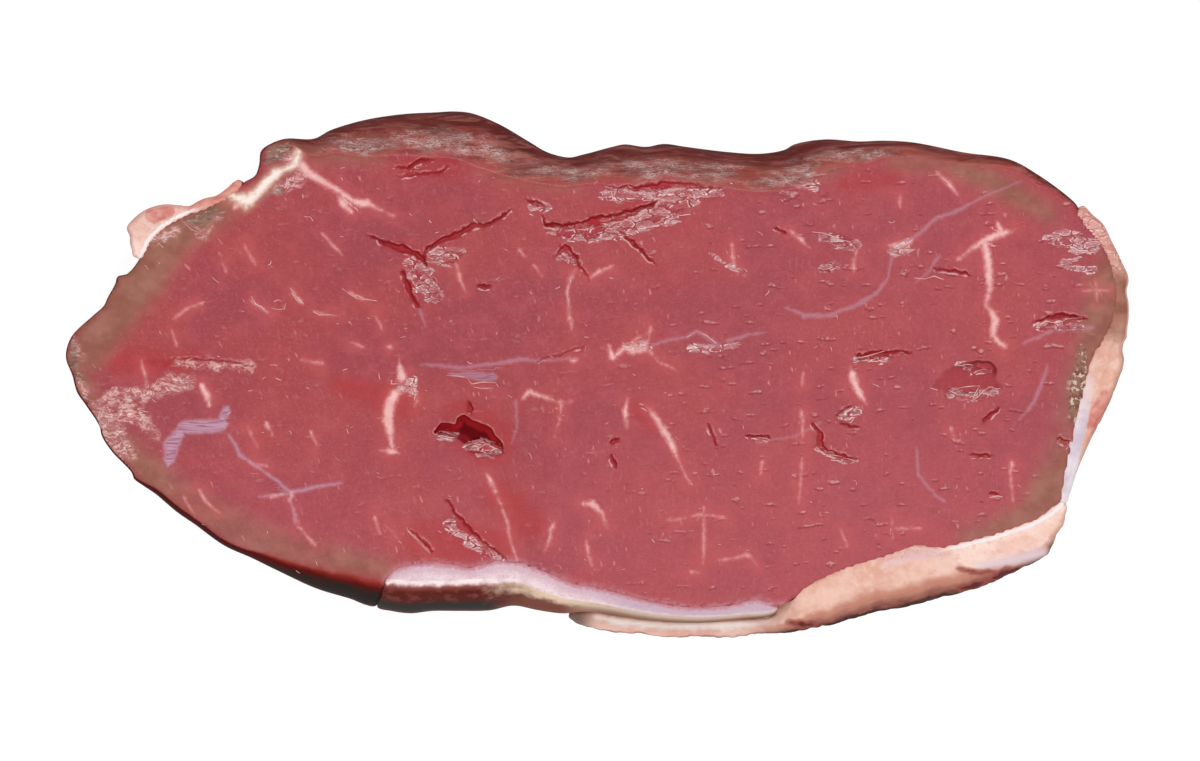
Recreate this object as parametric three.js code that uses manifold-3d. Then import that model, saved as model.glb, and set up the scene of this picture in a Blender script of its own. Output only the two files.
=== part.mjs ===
// A raw rump steak lying on its cut face: the lean muscle, the band of gristle along its lower side, the fat cap
// outside that, the thin fat edge round the right end and the fat lip at the upper left. Each layer runs through
// the whole thickness. Millimetres, +Z up, the long side along X, the fat cap towards -Y. The origin is under the
// middle of the steak, on the surface that it lies on.
import * as THREE from "three";
import { mergeVertices } from "three/addons/utils/BufferGeometryUtils.js";
import Module from "manifold-3d";

const wasm = await Module();
wasm.setup();

// Driving dimensions
const THICKNESS = 20; // of the slice at its middle
const END_DROP = 1.6; // how much thinner the slice is at its two ends
const WAVE = 0.35; // height of the gentle waves of the cut face
const HALF_LENGTH = 107.5;
const LEDGE_HEIGHT = 9.5; // of the fat cap where it was trimmed down to a ledge
const LEDGE_RISE = [31, 43]; // the ledge climbs to the full height between these X
const GAP = 0.35; // between neighbouring layers

// Rims. Each row is [x, y, flare]: a point of the cut face's edge, and how far the side below it stands out
// beyond that edge. A row without a flare is on a seam between two layers, which goes straight down.
const LEAN_TOP = [
  [97.4, 33.4, 0.5], [90, 39.2, 1], [82, 42.5, 1.3], [72, 44, 1.7], [61, 44.7, 2.7], [53, 43.5, 4],
  [45, 41.5, 6.2], [39, 38.6, 7.7], [33, 36.9, 8.1], [24, 37.8, 7.9], [14, 38.6, 8.4], [4, 38.9, 7.2],
  [-4, 39.5, 5], [-10, 40.2, 5], [-16, 41.6, 7.3], [-22, 43.8, 8.6], [-30, 45, 8.8], [-42, 45.4, 7.5],
  [-51, 46.4, 4.6], [-58, 47, 1.2], [-64, 46.3, 1.1], [-66.8, 44.7, 1], [-68.6, 40.6, 0.7], [-71.4, 38.9, 0.4],
];
const LEAN_LEFT = [
  [-92.6, 23.6, 0.3], [-94.4, 20.9, 0.4], [-96.7, 19.5, 0.4], [-99.8, 13.7, 0.4], [-105.9, 8, 0.5],
  [-107, 3.2, 0.5], [-104.4, -4.2, 0.5], [-100.2, -10.6, 0.6], [-97.4, -15.8, 0.7], [-91, -22.2, 1.3],
  [-80, -30, 1.7], [-68, -36, 2.2], [-56, -39.6, 3.9], [-48, -40.8, 5.4], [-42.3, -41.2, 6.4],
];
const SEAM_LEAN_GRISTLE = [
  [-42, -40.1], [-39, -38.7], [-35, -38.2], [-25, -39], [-18, -37.6], [-10, -40.2], [0, -43.3], [12, -46.1],
  [20, -47], [26, -46.8], [32, -45.4], [36, -46.6],
];
const SEAM_LEAN_CAP = [
  [36.5, -46.6], [39.5, -45.4], [43, -43.1], [50, -39.7], [58, -37.3], [64.5, -35.2], [68, -35.6],
  [82, -32.3], [93.7, -26.4],
];
const SEAM_LEAN_EDGE = [
  [93.85, -26.1], [96, -15], [98.7, -4], [100.1, 1.5], [104.7, 10.5], [105.5, 15], [105.2, 20], [103.4, 25],
  [97.6, 32.6],
];
const SEAM_LEAN_LIP = [[-72, 38.3], [-77.5, 34.7], [-84.5, 31.7], [-90, 28], [-92.2, 24.2]];
const GRISTLE_SIDE = [
  [-41.7, -41.3, 6.3], [-34.5, -42.5, 5.7], [-20, -41.3, 6], [-12, -42.1, 5.2], [-7, -44.2, 3.6],
  [0, -45.5, 2.1], [10, -47.8, 1.8], [20, -48.7, 1.3], [30, -48, 1.1], [35, -47.6, 0.7],
];
const LEDGE_INSIDE = [[36.4, -48.8], [28, -49.9], [15, -50.3], [4, -49.3], [-1, -48.2], [-5.4, -48.8]];
const CAP_SIDE = [
  [-6.2, -49.4, 0.5], [0, -50.7, 1.2], [11, -51.7, 1.4], [25, -51.8, 1.6], [36.5, -50.3, 2.1], [46, -48, 3],
  [58, -45.3, 3], [70, -42.2, 3], [82, -38.8, 2.6], [89, -36, 1.4], [92.5, -32.6, 0.8], [94, -27.2, 0.4],
];
const EDGE_SIDE = [
  [95, -24.8, 0.3], [98, -17, 0.5], [101.2, -10.4, 0.7], [105.4, -1.2, 0.8], [106, 4, 0.7], [107.1, 12, 0.5],
  [106.9, 16, 0.5], [107.2, 19, 0.5], [104.7, 25.3, 0.5], [98.6, 33, 0.3],
];
const LIP_SIDE = [
  [-73, 38.4, 0.3], [-78, 36, 0.4], [-82, 34.4, 0.4], [-88, 34.3, 0.6], [-91, 33.7, 0.6], [-94.8, 29.8, 0.5],
  [-94.4, 27.6, 0.5], [-93.6, 25.2, 0.4],
];

// Places where the cut face is opened: [x, y, half length, half width, depth, turn in degrees]
const OPENINGS = [
  [-26, -11.5, 6.6, 2.6, 4.6, 8], // the deep hole
  [-22.5, -13.6, 3.4, 2.6, 3.6, 0], // its lower end
  [76, -0.5, 5.4, 3, 2.6, 12], // the shallow hollow on the right
  [1, 31.2, 12, 1.1, 3, 12], // the long tear
  [-41, 25.8, 6.5, 0.9, 2.4, -22], // the two tears to its left
  [-26, 29, 8.5, 0.8, 2, 22],
  [8, 26, 5.5, 0.7, 1.6, -45],
  [58, 4.4, 6, 0.8, 1.8, 6],
];

const lerp = THREE.MathUtils.lerp;
const smoothstep = THREE.MathUtils.smoothstep;

// Height of the cut face above the table.
function faceHeight(x, y) {
  const end = Math.pow(Math.abs(x) / HALF_LENGTH, 3);
  const wave = Math.sin(x / 17 + 0.6) * Math.cos(y / 13) + 0.6 * Math.sin(x / 9 - y / 11);
  return THICKNESS - END_DROP * end + WAVE * wave;
}

// The fat cap's top: a low ledge on the left, level with the cut face on the right.
function capHeight(x, y) {
  return lerp(LEDGE_HEIGHT, faceHeight(x, y) - 0.3, smoothstep(x, ...LEDGE_RISE));
}

// Evenly spaced samples of a smooth curve through the rows, each with the direction that faces out of a
// piece whose rim runs counter-clockwise. An inset moves them into the piece, and its two ends inwards too.
function rim(rows, spacing, inset = 0) {
  const curve = new THREE.CatmullRomCurve3(
    rows.map(([x, y, flare]) => new THREE.Vector3(x, y, flare ?? 0)),
    false,
    "centripetal",
  );
  const count = Math.max(2, Math.round(curve.getLength() / spacing));
  return curve.getSpacedPoints(count).map((p, i) => {
    const tangent = curve.getTangentAt(i / count);
    const out = new THREE.Vector2(tangent.y, -tangent.x).normalize();
    const seam = rows[0].length === 2;
    const bevel = i === 0 || i === count ? 0 : 1; // the corners where two runs meet stay sharp
    const along = inset * (i === 0 ? 1 : i === count ? -1 : 0);
    const x = p.x - out.x * inset - out.y * along;
    const y = p.y - out.y * inset + out.x * along;
    return { x, y, out, flare: p.z, seam, bevel };
  });
}

const reversed = (rows) => [...rows].reverse();

// The rings of a layer from its top edge down to its underside. Each level is [how far out, how high], for a
// sample of the rim whose top is at height h.
function sideLevels(sample, h, roundness, tuckIn) {
  const { flare, seam, bevel } = sample;
  const [round, tuck] = [roundness * bevel, tuckIn * bevel];
  if (seam) {
    const edge = Math.min(round, 0.25);
    return [[-edge, h], [-edge * 0.3, h - edge * 0.4], [0, h - edge], [0, h * 0.62], [0, h * 0.38], [0, h * 0.2],
      [0, edge], [-edge, 0]];
  }
  return [
    [-round, h],
    [-round * 0.3, h - round * 0.35],
    [flare * 0.06, h - round * 1.1],
    [flare * 0.5, h * 0.62],
    [flare * 0.86, h * 0.38],
    [flare, h * 0.2],
    [flare - tuck * 0.3, h * 0.05],
    [flare - tuck, 0],
  ];
}

// A closed solid with its rim on the samples: rings down its side, a flat underside, and a top that is filled
// straight across, or by further rings that shrink towards the piece's spine.
function layer(samples, { height, round, tuck, spine = null, fill = [] }) {
  const positions = [];
  const faces = [];
  const n = samples.length;
  const addRing = (points) => {
    const start = positions.length / 3;
    points.forEach((p) => positions.push(p[0], p[1], p[2]));
    return start;
  };
  const levels = samples.map((s) => sideLevels(s, height(s.x, s.y), round, tuck));
  const ringAt = (k) =>
    samples.map((s, i) => [s.x + s.out.x * levels[i][k][0], s.y + s.out.y * levels[i][k][0], levels[i][k][1]]);
  const top = ringAt(0);

  const rings = [];
  for (const share of fill) {
    rings.push(
      addRing(
        top.map(([x, y]) => {
          const near = THREE.MathUtils.clamp(x, spine.from, spine.to);
          const [px, py] = [lerp(near, x, share), lerp(spine.y, y, share)];
          return [px, py, height(px, py)];
        }),
      ),
    );
  }
  for (let k = 0; k < levels[0].length; k++) rings.push(addRing(ringAt(k)));

  for (let r = 0; r + 1 < rings.length; r++)
    for (let i = 0; i < n; i++) {
      const j = (i + 1) % n;
      const [a, b, c, d] = [rings[r] + i, rings[r] + j, rings[r + 1] + i, rings[r + 1] + j];
      faces.push(a, c, b, b, c, d);
    }
  const cap = (start, up) => {
    const flat = samples.map((_, i) => new THREE.Vector2(positions[3 * (start + i)], positions[3 * (start + i) + 1]));
    for (const [a, b, c] of THREE.ShapeUtils.triangulateShape(flat, [])) {
      if (up) faces.push(start + a, start + b, start + c);
      else faces.push(start + a, start + c, start + b);
    }
  };
  cap(rings[0], true);
  cap(rings.at(-1), false);

  const geometry = new THREE.BufferGeometry();
  geometry.setAttribute("position", new THREE.Float32BufferAttribute(positions, 3));
  geometry.setIndex(faces);
  return geometry;
}

// A geometry as a solid that can be cut, and back.
function toSolid(geometry) {
  const bare = geometry.clone();
  bare.deleteAttribute("normal");
  bare.deleteAttribute("uv");
  const merged = mergeVertices(bare, 1e-4);
  return new wasm.Manifold(
    new wasm.Mesh({
      numProp: 3,
      vertProperties: merged.attributes.position.array,
      triVerts: new Uint32Array(merged.index.array),
    }),
  );
}

function toGeometry(solid) {
  const mesh = solid.getMesh();
  const geometry = new THREE.BufferGeometry();
  geometry.setAttribute("position", new THREE.BufferAttribute(mesh.vertProperties, 3));
  geometry.setIndex(new THREE.BufferAttribute(mesh.triVerts, 1));
  return geometry;
}

// The holes and tears in the cut face, as flattened balls sunk into it.
function openings() {
  return OPENINGS.map(([x, y, halfLength, halfWidth, depth, turn]) => {
    const ball = new THREE.SphereGeometry(1, 14, 10);
    ball.scale(halfLength, halfWidth, depth);
    ball.rotateZ(THREE.MathUtils.degToRad(turn));
    ball.translate(x, y, faceHeight(x, y) + 0.2);
    return toSolid(ball);
  });
}

function lean() {
  const samples = [
    ...rim(LEAN_TOP, 3.2),
    ...rim(SEAM_LEAN_LIP, 3),
    ...rim(LEAN_LEFT, 3.4),
    ...rim(SEAM_LEAN_GRISTLE, 3.2),
    ...rim(SEAM_LEAN_CAP, 3.6),
    ...rim(SEAM_LEAN_EDGE, 3.6),
  ];
  const body = layer(samples, {
    height: faceHeight,
    round: 1.2,
    tuck: 1.8,
    spine: { from: -72, to: 70, y: 0 },
    fill: [0.2, 0.5, 0.78],
  });
  return toGeometry(openings().reduce((whole, hole) => whole.subtract(hole), toSolid(body)));
}

function gristle() {
  const samples = [...rim(GRISTLE_SIDE, 3), ...rim(reversed(SEAM_LEAN_GRISTLE), 3, GAP)];
  return layer(samples, { height: (x, y) => faceHeight(x, y) - 0.1, round: 0.35, tuck: 0.5 });
}

function fatCap() {
  const samples = [...rim(CAP_SIDE, 3.4), ...rim(reversed(SEAM_LEAN_CAP), 3.4, GAP), ...rim(LEDGE_INSIDE, 3.4)];
  return layer(samples, { height: capHeight, round: 0.35, tuck: 0.4 });
}

function fatEdge() {
  const samples = [...rim(EDGE_SIDE, 3), ...rim(reversed(SEAM_LEAN_EDGE), 3, GAP)];
  return layer(samples, { height: (x, y) => faceHeight(x, y) - 0.4, round: 0.25, tuck: 0.3 });
}

function fatLip() {
  const samples = [...rim(LIP_SIDE, 2.4), ...rim(reversed(SEAM_LEAN_LIP), 2.4, GAP)];
  return layer(samples, { height: (x, y) => faceHeight(x, y) - 0.6, round: 0.25, tuck: 0.3 });
}

const meat = new THREE.MeshStandardMaterial({ color: 0xaf5156, roughness: 0.4, metalness: 0 });
const sinew = new THREE.MeshStandardMaterial({ color: 0xd9bcc4, roughness: 0.35, metalness: 0 });
const fat = new THREE.MeshStandardMaterial({ color: 0xeec4b4, roughness: 0.45, metalness: 0 });

function piece(name, geometry, material) {
  const mesh = new THREE.Mesh(geometry, material);
  mesh.name = name;
  return mesh;
}

const steak = new THREE.Group();
steak.add(
  piece("lean", lean(), meat),
  piece("gristle_band", gristle(), sinew),
  piece("fat_cap", fatCap(), fat),
  piece("fat_edge", fatEdge(), fat),
  piece("fat_lip", fatLip(), fat),
);

// The origin goes under the middle of the whole.
const middle = new THREE.Box3().setFromObject(steak).getCenter(new THREE.Vector3());
steak.position.set(-middle.x, -middle.y, 0);

export default steak;
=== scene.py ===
import math
import random

import bmesh
import bpy
import numpy as np
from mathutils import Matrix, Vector, kdtree, noise
from mathutils.bvhtree import BVHTree


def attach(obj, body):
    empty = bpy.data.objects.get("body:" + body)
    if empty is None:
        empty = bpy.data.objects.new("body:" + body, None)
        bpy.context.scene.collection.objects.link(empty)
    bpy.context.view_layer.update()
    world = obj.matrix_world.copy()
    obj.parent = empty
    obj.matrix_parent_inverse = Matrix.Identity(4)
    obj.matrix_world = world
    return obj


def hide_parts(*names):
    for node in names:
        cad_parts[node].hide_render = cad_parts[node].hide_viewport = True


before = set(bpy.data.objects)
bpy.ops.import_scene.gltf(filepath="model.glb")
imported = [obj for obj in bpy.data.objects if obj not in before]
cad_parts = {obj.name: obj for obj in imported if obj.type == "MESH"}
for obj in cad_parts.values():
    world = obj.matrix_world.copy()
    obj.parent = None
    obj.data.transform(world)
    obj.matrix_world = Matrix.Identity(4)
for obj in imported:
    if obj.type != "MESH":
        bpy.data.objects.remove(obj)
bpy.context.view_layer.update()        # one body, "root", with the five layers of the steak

# ---------------------------------------------------------------------------------------------------------
# The lean muscle: one thick slice across the grain of a rump. The knife left an almost flat face with small
# tears, and the sides still carry the thin skins of the muscle. It is soft, wet and faintly see-through.

MM = 0.001
FACE_HEIGHT = 19.8          # of the cut face above the board, at the middle
END_DROP = 1.5              # how much lower it lies at the two ends
HALF_LENGTH = 107.5
STEEPEST = math.radians(76)  # of the rounded shoulder between the face and the side
DEEPEST_SHOULDER = 13.5

# The rim seen from above: [x, y, shoulder]. The shoulder is how wide the rounded edge is from above, wide
# where the side leans out under its skin and narrow where another layer lies against it.
GRISTLE_SEAM = [    # from right to left, where the lean meets the gristle
    (36, -46.8, .5), (33.5, -45.9, .5), (31, -45.7, .5), (28, -46.5, .5), (20, -47.2, .5), (10, -45.8, .5),
    (0, -43.2, .5), (-5, -42.4, .5), (-10, -40.3, .5), (-15, -38.3, .5), (-20, -37.8, .5), (-26, -39.2, .5),
    (-30, -38.5, .5), (-36, -38.4, .5), (-41, -39.6, .5), (-42.2, -41, .5), (-43.4, -44.2, .5),
]
GRISTLE_SIDE = [    # from left to right, its outer side
    (-44.7, -47.1, 6.3), (-42, -47.9, 6.8), (-38, -48.4, 7), (-33.5, -47.9, 6.4), (-28, -47.9, 6.6),
    (-22, -47.8, 6.8), (-17, -46.8, 5.8), (-12, -47.7, 5), (-7, -48.3, 4), (-3, -47.9, 2.6), (0, -48, 2.2),
    (10, -49.6, 1.8), (20, -50.1, 1.4), (30, -49.3, 1.2), (35.6, -48.4, .9),
]
LEAN_SIDE = [       # the rest of the lean's rim, clockwise from the gristle's left end
    (-45.1, -46.9, 6.4), (-47, -46.7, 6.6), (-50, -45.5, 6.2), (-57, -43.3, 4.8), (-65, -39.5, 3.2),
    (-70, -37, 2.2), (-75.5, -34.5, 1.8), (-81.5, -30.2, 1.9), (-85, -27.8, 1.9), (-89.5, -24, 1.7),
    (-92, -22.3, 1.4), (-93.7, -21, 1.1), (-94.2, -19.7, .9), (-98.3, -15.3, .8), (-100.2, -12.3, .8),
    (-100.7, -10.3, .8), (-103.5, -6, .8), (-105.2, -3.5, .8), (-106.2, 0, .8), (-107.4, 3, .8),
    (-107.4, 5, .8), (-106.2, 8, .8), (-102, 12, .8), (-99.8, 14, .7), (-99, 15.7, .7), (-97.5, 18.4, .7),
    (-97, 19.9, .6), (-95, 20.5, .6), (-93, 22.8, .6), (-92.2, 24.2, .5), (-91.2, 26.5, .5),
    (-89.3, 29, .5), (-84, 32.4, .5), (-80, 33.8, .5), (-77, 35.2, .5), (-74, 36.8, .5), (-71.5, 38.9, .6),
    (-69.2, 40.3, .7), (-68.4, 42.5, .9), (-68, 45.3, 1.1), (-66, 46.8, 1.2), (-63, 47.8, 1.4),
    (-57.5, 47.9, 4), (-54, 49.8, 6), (-48, 51.7, 8.6), (-40, 53, 9.8), (-33, 53.4, 10.6), (-29, 53.6, 11),
    (-25.5, 53.2, 11.4), (-20, 51, 11.4), (-14, 47.5, 9.6), (-10.2, 45.3, 7.6), (-5.8, 44.2, 6.6),
    (-3, 44.8, 7), (3, 46.4, 9), (5.5, 46.9, 9.4), (9.8, 46.4, 8.6), (13.5, 47, 8.6), (18, 46.4, 8.4),
    (26, 45.4, 8.2), (33, 45, 8.8), (38, 45.8, 9.2), (40, 46.9, 9), (46, 47.9, 7.4), (53, 47.4, 5.4),
    (58, 47.5, 4), (64, 47.1, 3.2), (74, 45.1, 2.8), (83.5, 43.6, 2.4), (89.5, 40.3, 2), (95, 36.2, 1.2),
    (96.8, 34.4, .7), (97.8, 32.3, .5), (100.4, 29.2, .5), (103.3, 25, .5), (105.1, 20, .5),
    (105.3, 15, .5), (104.6, 10.5, .5), (102.4, 6.5, .5), (100, 1.5, .5), (98.6, -4, .5), (96, -15, .5),
    (94.8, -21, .5), (93.8, -26, .5), (89, -29.6, .5), (82, -32.2, .5), (74, -34.4, .5), (68.4, -35.5, .5),
    (64.5, -35.1, .5), (58, -37.2, .5), (50, -39.7, .5), (43, -43.1, .5), (39.5, -45.4, .5),
]

# Streaks and patches of the cut face are strokes: points [x, y, half width] along a line.
MARBLING = [
    # the long seam of fat from the upper left, and its two feet
    [(-61.3, 45, .9), (-60.5, 43, 1), (-58.5, 41, .9), (-55.5, 39, .8), (-52, 37, .6), (-50, 35.5, .6),
     (-47.6, 34.6, .9), (-46.4, 34.8, .8), (-44, 33.4, .35), (-41, 32, .3)],
    [(-52.2, 36.6, .4), (-51.6, 34.8, .8), (-49.7, 32.8, .6)],
    # the thick fleck left of the middle
    [(-40, 3.4, .1), (-39.9, 1.6, .55), (-39.4, -.6, 1.1)],
    [(-37.8, -3, .4), (-39.6, -2.7, .7), (-41, -3.8, 1), (-42, -6, 1.2), (-42.3, -9, 1.1), (-41.8, -12, .7),
     (-41.4, -14.6, .5)],
    [(-36.9, -3.4, .5), (-36.4, -4.8, .4), (-37, -6.4, .2)],
    [(-44, -15.2, .2), (-41.6, -15.4, .8), (-39.8, -15.8, .2)],
    # the forked one on the right
    [(84.6, 29.6, .3), (82, 28.7, .7), (79, 27.6, .8), (76.4, 26.1, .7), (74.3, 24.6, .4), (72.6, 23.3, .5)],
    [(80.7, 30.9, .4), (81.2, 29.6, .6), (82.2, 28.6, .4)],
    [(78.2, 26.5, .8), (78.9, 23, .9), (79.2, 18, .7), (78.5, 14, .4), (79.6, 12.6, .7), (80.4, 11, .8),
     (79.8, 8, .7), (81.3, 6.4, .6), (82.4, 5.6, .6)],
    # the middle
    [(51, 1.8, .3), (51.5, 0, .9), (52.3, -2.5, .8), (53.5, -4.6, .5), (54.4, -6, .2)],
    [(6.1, -4.6, .2), (5.6, -7, .55), (5.6, -9, .55), (6, -11, .2)],
    [(9.6, -6, .2), (11.5, -8.3, .55), (13.2, -11, .75), (15, -14, .7), (16.2, -17, .3), (17.6, -20, .15),
     (18.8, -22, .2)],
    [(-4.4, 21.3, .3), (-5.6, 19.3, .55), (-6, 16.5, .35), (-5.9, 14, .25), (-5.6, 11.5, .5),
     (-5.2, 8.6, .15)],
    [(-1.5, 19.5, .2), (.4, 21, .45), (3.2, 22, .3)],
    [(-28.6, 22.6, .3), (-27.8, 19.4, .4), (-26.6, 16.6, .15)],
    [(-15.2, -4.8, .3), (-13.9, -3.4, .6), (-11.5, -4.2, .4), (-8, -5.3, .5), (-4.8, -5.3, .2)],
    [(-7.3, -5.4, .45), (-7.6, -9, .3), (-8.7, -12.6, .15)],
    [(3.4, 3.6, .4), (5.4, 5.6, .7), (7, 5.2, 1.1), (9.3, 5.6, 1), (10.3, 7.4, .4), (10.7, 9.8, .35)],
    [(5.6, 5.6, .4), (8, 7.4, .35), (10.2, 8.6, .3)],
    [(10.4, 5, .4), (12.5, 2.6, .3), (15.6, 1.1, .15)],
    [(3.1, 3.4, .7), (2.2, 6, .35)],
    [(-5.2, 3, .6), (-4, 3.1, .3)],
    [(27.2, 26.4, .35), (27.2, 23.6, .4), (28.3, 20.4, .15)],
    [(39, 29.1, .3), (41, 27.5, .5), (42.8, 25.8, .3)],
    [(52.3, 25.2, .3), (51.7, 23, .4), (51.8, 20.8, .2)],
    [(61, 36.1, .3), (61.2, 33.9, .3)],
    [(68.5, 41, .3), (71, 38.6, .5), (72.8, 36.3, .3)],
    [(59, 26.2, .5), (61, 26, .9), (63.3, 27.2, .7)],
    [(-16, 25.4, .3), (-14.4, 23.7, .3)], [(-13, 22.4, .25), (-11.2, 19.9, .2)],
    # the lower middle
    [(-22.4, -20, .3), (-21.6, -21.4, .6), (-20, -25, .4), (-18.2, -29.5, .35), (-17.6, -33, .3),
     (-16.3, -37.4, .35)],
    [(-8.9, -30, .5), (-9.7, -33, .4), (-10.7, -35.8, .25)],
    [(-2.3, -33.3, .3), (-1.9, -36, .4), (-1.2, -38.6, .2)],
    [(-3, -26, .5), (-1, -25.9, .8), (.6, -27.6, .6), (2, -31, .2)],
    [(41.5, .6, .25), (41.3, -2.5, .2)], [(41.2, -7.4, .45), (41.4, -11, .35), (41.2, -14, .15)],
    [(41.3, -17, .3), (41, -21, .25), (40.6, -26, .15)],
    [(21.4, -26.5, .2), (21.5, -34, .35), (21.3, -38.6, .15)],
    [(14, -29.4, .4), (17.5, -28.9, .2), (21.2, -28, .3), (26, -28.9, .1)],
    [(24.4, -37.3, .3), (27.2, -37.1, .3), (30.2, -36.2, .4), (32.6, -38.8, .15)],
    [(18.8, -39.6, .4), (20.4, -40, .3)], [(33.3, -17.5, .3), (32.9, -20, .2)],
    [(59.4, -29, .15), (59.6, -33, .25)], [(60, -30.9, .2), (65.2, -31, .3)],
    [(83.7, -17.6, .5), (83.4, -20, .3), (83.9, -25.4, .2)], [(71.3, -10.8, .45), (72.2, -13, .3)],
    [(49, -31, .2), (50.4, -34.6, .3)],
    [(98, 17, .1), (100.8, 17.2, .4), (103.4, 17, .1)],
    [(100.5, 19.6, .1), (100.8, 17.2, .4), (101, 14.8, .1)],
    # the left part, where the grain slants
    [(-92.2, 3, .15), (-91.5, .3, .4), (-91, -2, .2)], [(-80, -1.8, .5), (-78.9, -4, .8), (-78.3, -6.4, .4)],
    [(-86, 9, .2), (-85, 5.8, .3)], [(-85.6, 11.4, .2), (-83, 13.4, .35), (-79.5, 14.7, .3)],
    [(-55.6, 28.6, .3), (-53.5, 26.3, .35), (-51.6, 24.3, .2)], [(-71.2, 26.2, .25), (-69.2, 22.3, .3)],
    [(-76.4, 24.6, .2), (-75, 20.8, .25)], [(-61.6, 17, .3), (-59.8, 14.6, .45)],
    [(-70, 15.1, .25), (-66.6, 12.6, .3)], [(-57.4, 13, .2), (-54.6, 12.1, .35), (-52.6, 12, .2)],
    [(-50.2, 16.8, .3), (-47.3, 15.3, .35)], [(-45.2, 12.8, .2), (-43.5, 9.3, .25)],
    [(-50, 6.6, .15), (-47, 5.6, .3)], [(-60, 3.1, .2), (-55.4, 2.3, .35)],
    [(-42.3, 5.8, .5), (-41.7, 5.6, .5)],
    [(-67, -9.6, .45), (-65.7, -12, .3)], [(-57.9, -11.3, .35), (-56.7, -14.2, .2)],
    [(-70.6, -10.4, .3), (-68.7, -14.5, .2)], [(-80.4, -23.2, .4), (-79.2, -25.5, .35), (-76.4, -27.8, .2)],
    [(-83.6, -24.6, .2), (-81.3, -28.6, .3)], [(-45.1, -28.6, .35), (-43.9, -32, .2)],
    [(-61.4, -27, .2), (-60.3, -30.6, .4), (-57, -34.4, .3)], [(-61.7, -23.6, .5), (-62.3, -25.2, .45)],
    [(-66.4, -24.8, .4), (-63.4, -24, .3)], [(-70.4, -17.6, .25), (-66.6, -18.4, .25)],
    [(-38.4, -31, .25), (-34, -35.4, .3)], [(-42.7, -30.4, .2), (-40.2, -33, .2)],
    [(-73.4, 33.6, .5), (-72, 35, .8), (-70, 36.2, .6)],
]
CREAM = [       # the seam of fat round the upper left corner
    [(-77, 36.4, 0), (-74.4, 36.4, .2), (-72, 35.5, .8), (-70.4, 35.4, 1), (-68.8, 36.6, .6),
     (-67, 38.6, .6), (-65.2, 40.6, .7), (-63.6, 41.3, .3), (-62, 41.8, .2), (-61, 43, .5),
     (-60.4, 44.4, .3), (-60, 46.4, .1)],
    [(-70.8, 35.2, .6), (-71, 34, .1)],
]
CONNECTIVE = [
    # the long horizontal seam across the middle
    [(-36, 2.1, .15), (-33.6, 2, .35), (-27.1, 1.5, .4), (-20, 2.4, .45), (-15.8, 3.2, .5), (-12, 2.9, .35),
     (-8.7, 3, .3), (-4, 3.5, .2)],
    [(-30, .3, .3), (-27, .1, .6), (-24, -.3, .95), (-20.8, -.4, .95)],
    # the lavender patch at the left and its tail
    [(-84.2, -10.8, 1.2), (-82.5, -10.4, 1.5), (-78, -10.3, 1.5), (-75.6, -10, 1.4)],
    [(-76, -9, .9), (-75, -7.4, .9), (-74.6, -6.6, .6)],
    [(-84.4, -11.6, 1.3), (-86, -14, 1.6), (-86.6, -17.4, 1.3)],
    [(-74.4, -12, .3), (-72, -16.2, .5), (-68, -19, .35), (-64.4, -21.6, .3), (-62.2, -23.4, .5)],
    [(-62, -23.8, .5), (-58, -22.8, .45), (-51.6, -21.8, .35)], [(-68.6, -24.6, .2), (-62.6, -24, .3)],
    [(-61.9, -25, .3), (-61, -30, .2)],
    # the arching seam at the upper right
    [(86, 39.2, .1), (79.5, 36.8, .25), (76, 35, .3), (73, 33.3, .45), (68, 31.4, .4), (65.6, 29, .4),
     (62, 26.8, .5), (59.4, 25, .3), (58.8, 20, .25), (56.5, 16.6, .5), (52, 14, .55), (47, 12.1, .4),
     (42, 12, .5), (38, 13.6, .25)],
    [(34, 8.6, .2), (30, 8, .4), (26, 6.8, .4)], [(48, 12, .35), (41.4, 11.6, .35)],
    [(11, 6, .3), (14, 7, .35), (18, 7.7, .3), (19.8, 8.9, .4), (22.6, 7.4, .4), (24.6, 5.8, .5)],
    [(91, 2, .2), (89.5, -2.5, .5), (87.5, -6.4, .4), (85, -9, .15)],
    [(69, 24.2, .4), (67, 20.8, .25), (64, 18.6, .15)], [(64.4, -14.6, .2), (64.8, -20, .35), (67, -23, .3),
     (70, -25.6, .35)],
    [(100, 9.5, .5), (92, 9, .4), (86, 6.4, .3)], [(45, -9.6, .25), (40, -12.4, .2), (32, -13.6, .1)],
    [(-36, 13.4, .35), (-34.6, 9.6, .15)], [(-16.6, -5, .3), (-16.2, -10.6, .25), (-17.4, -14, .15)],
]
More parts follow.
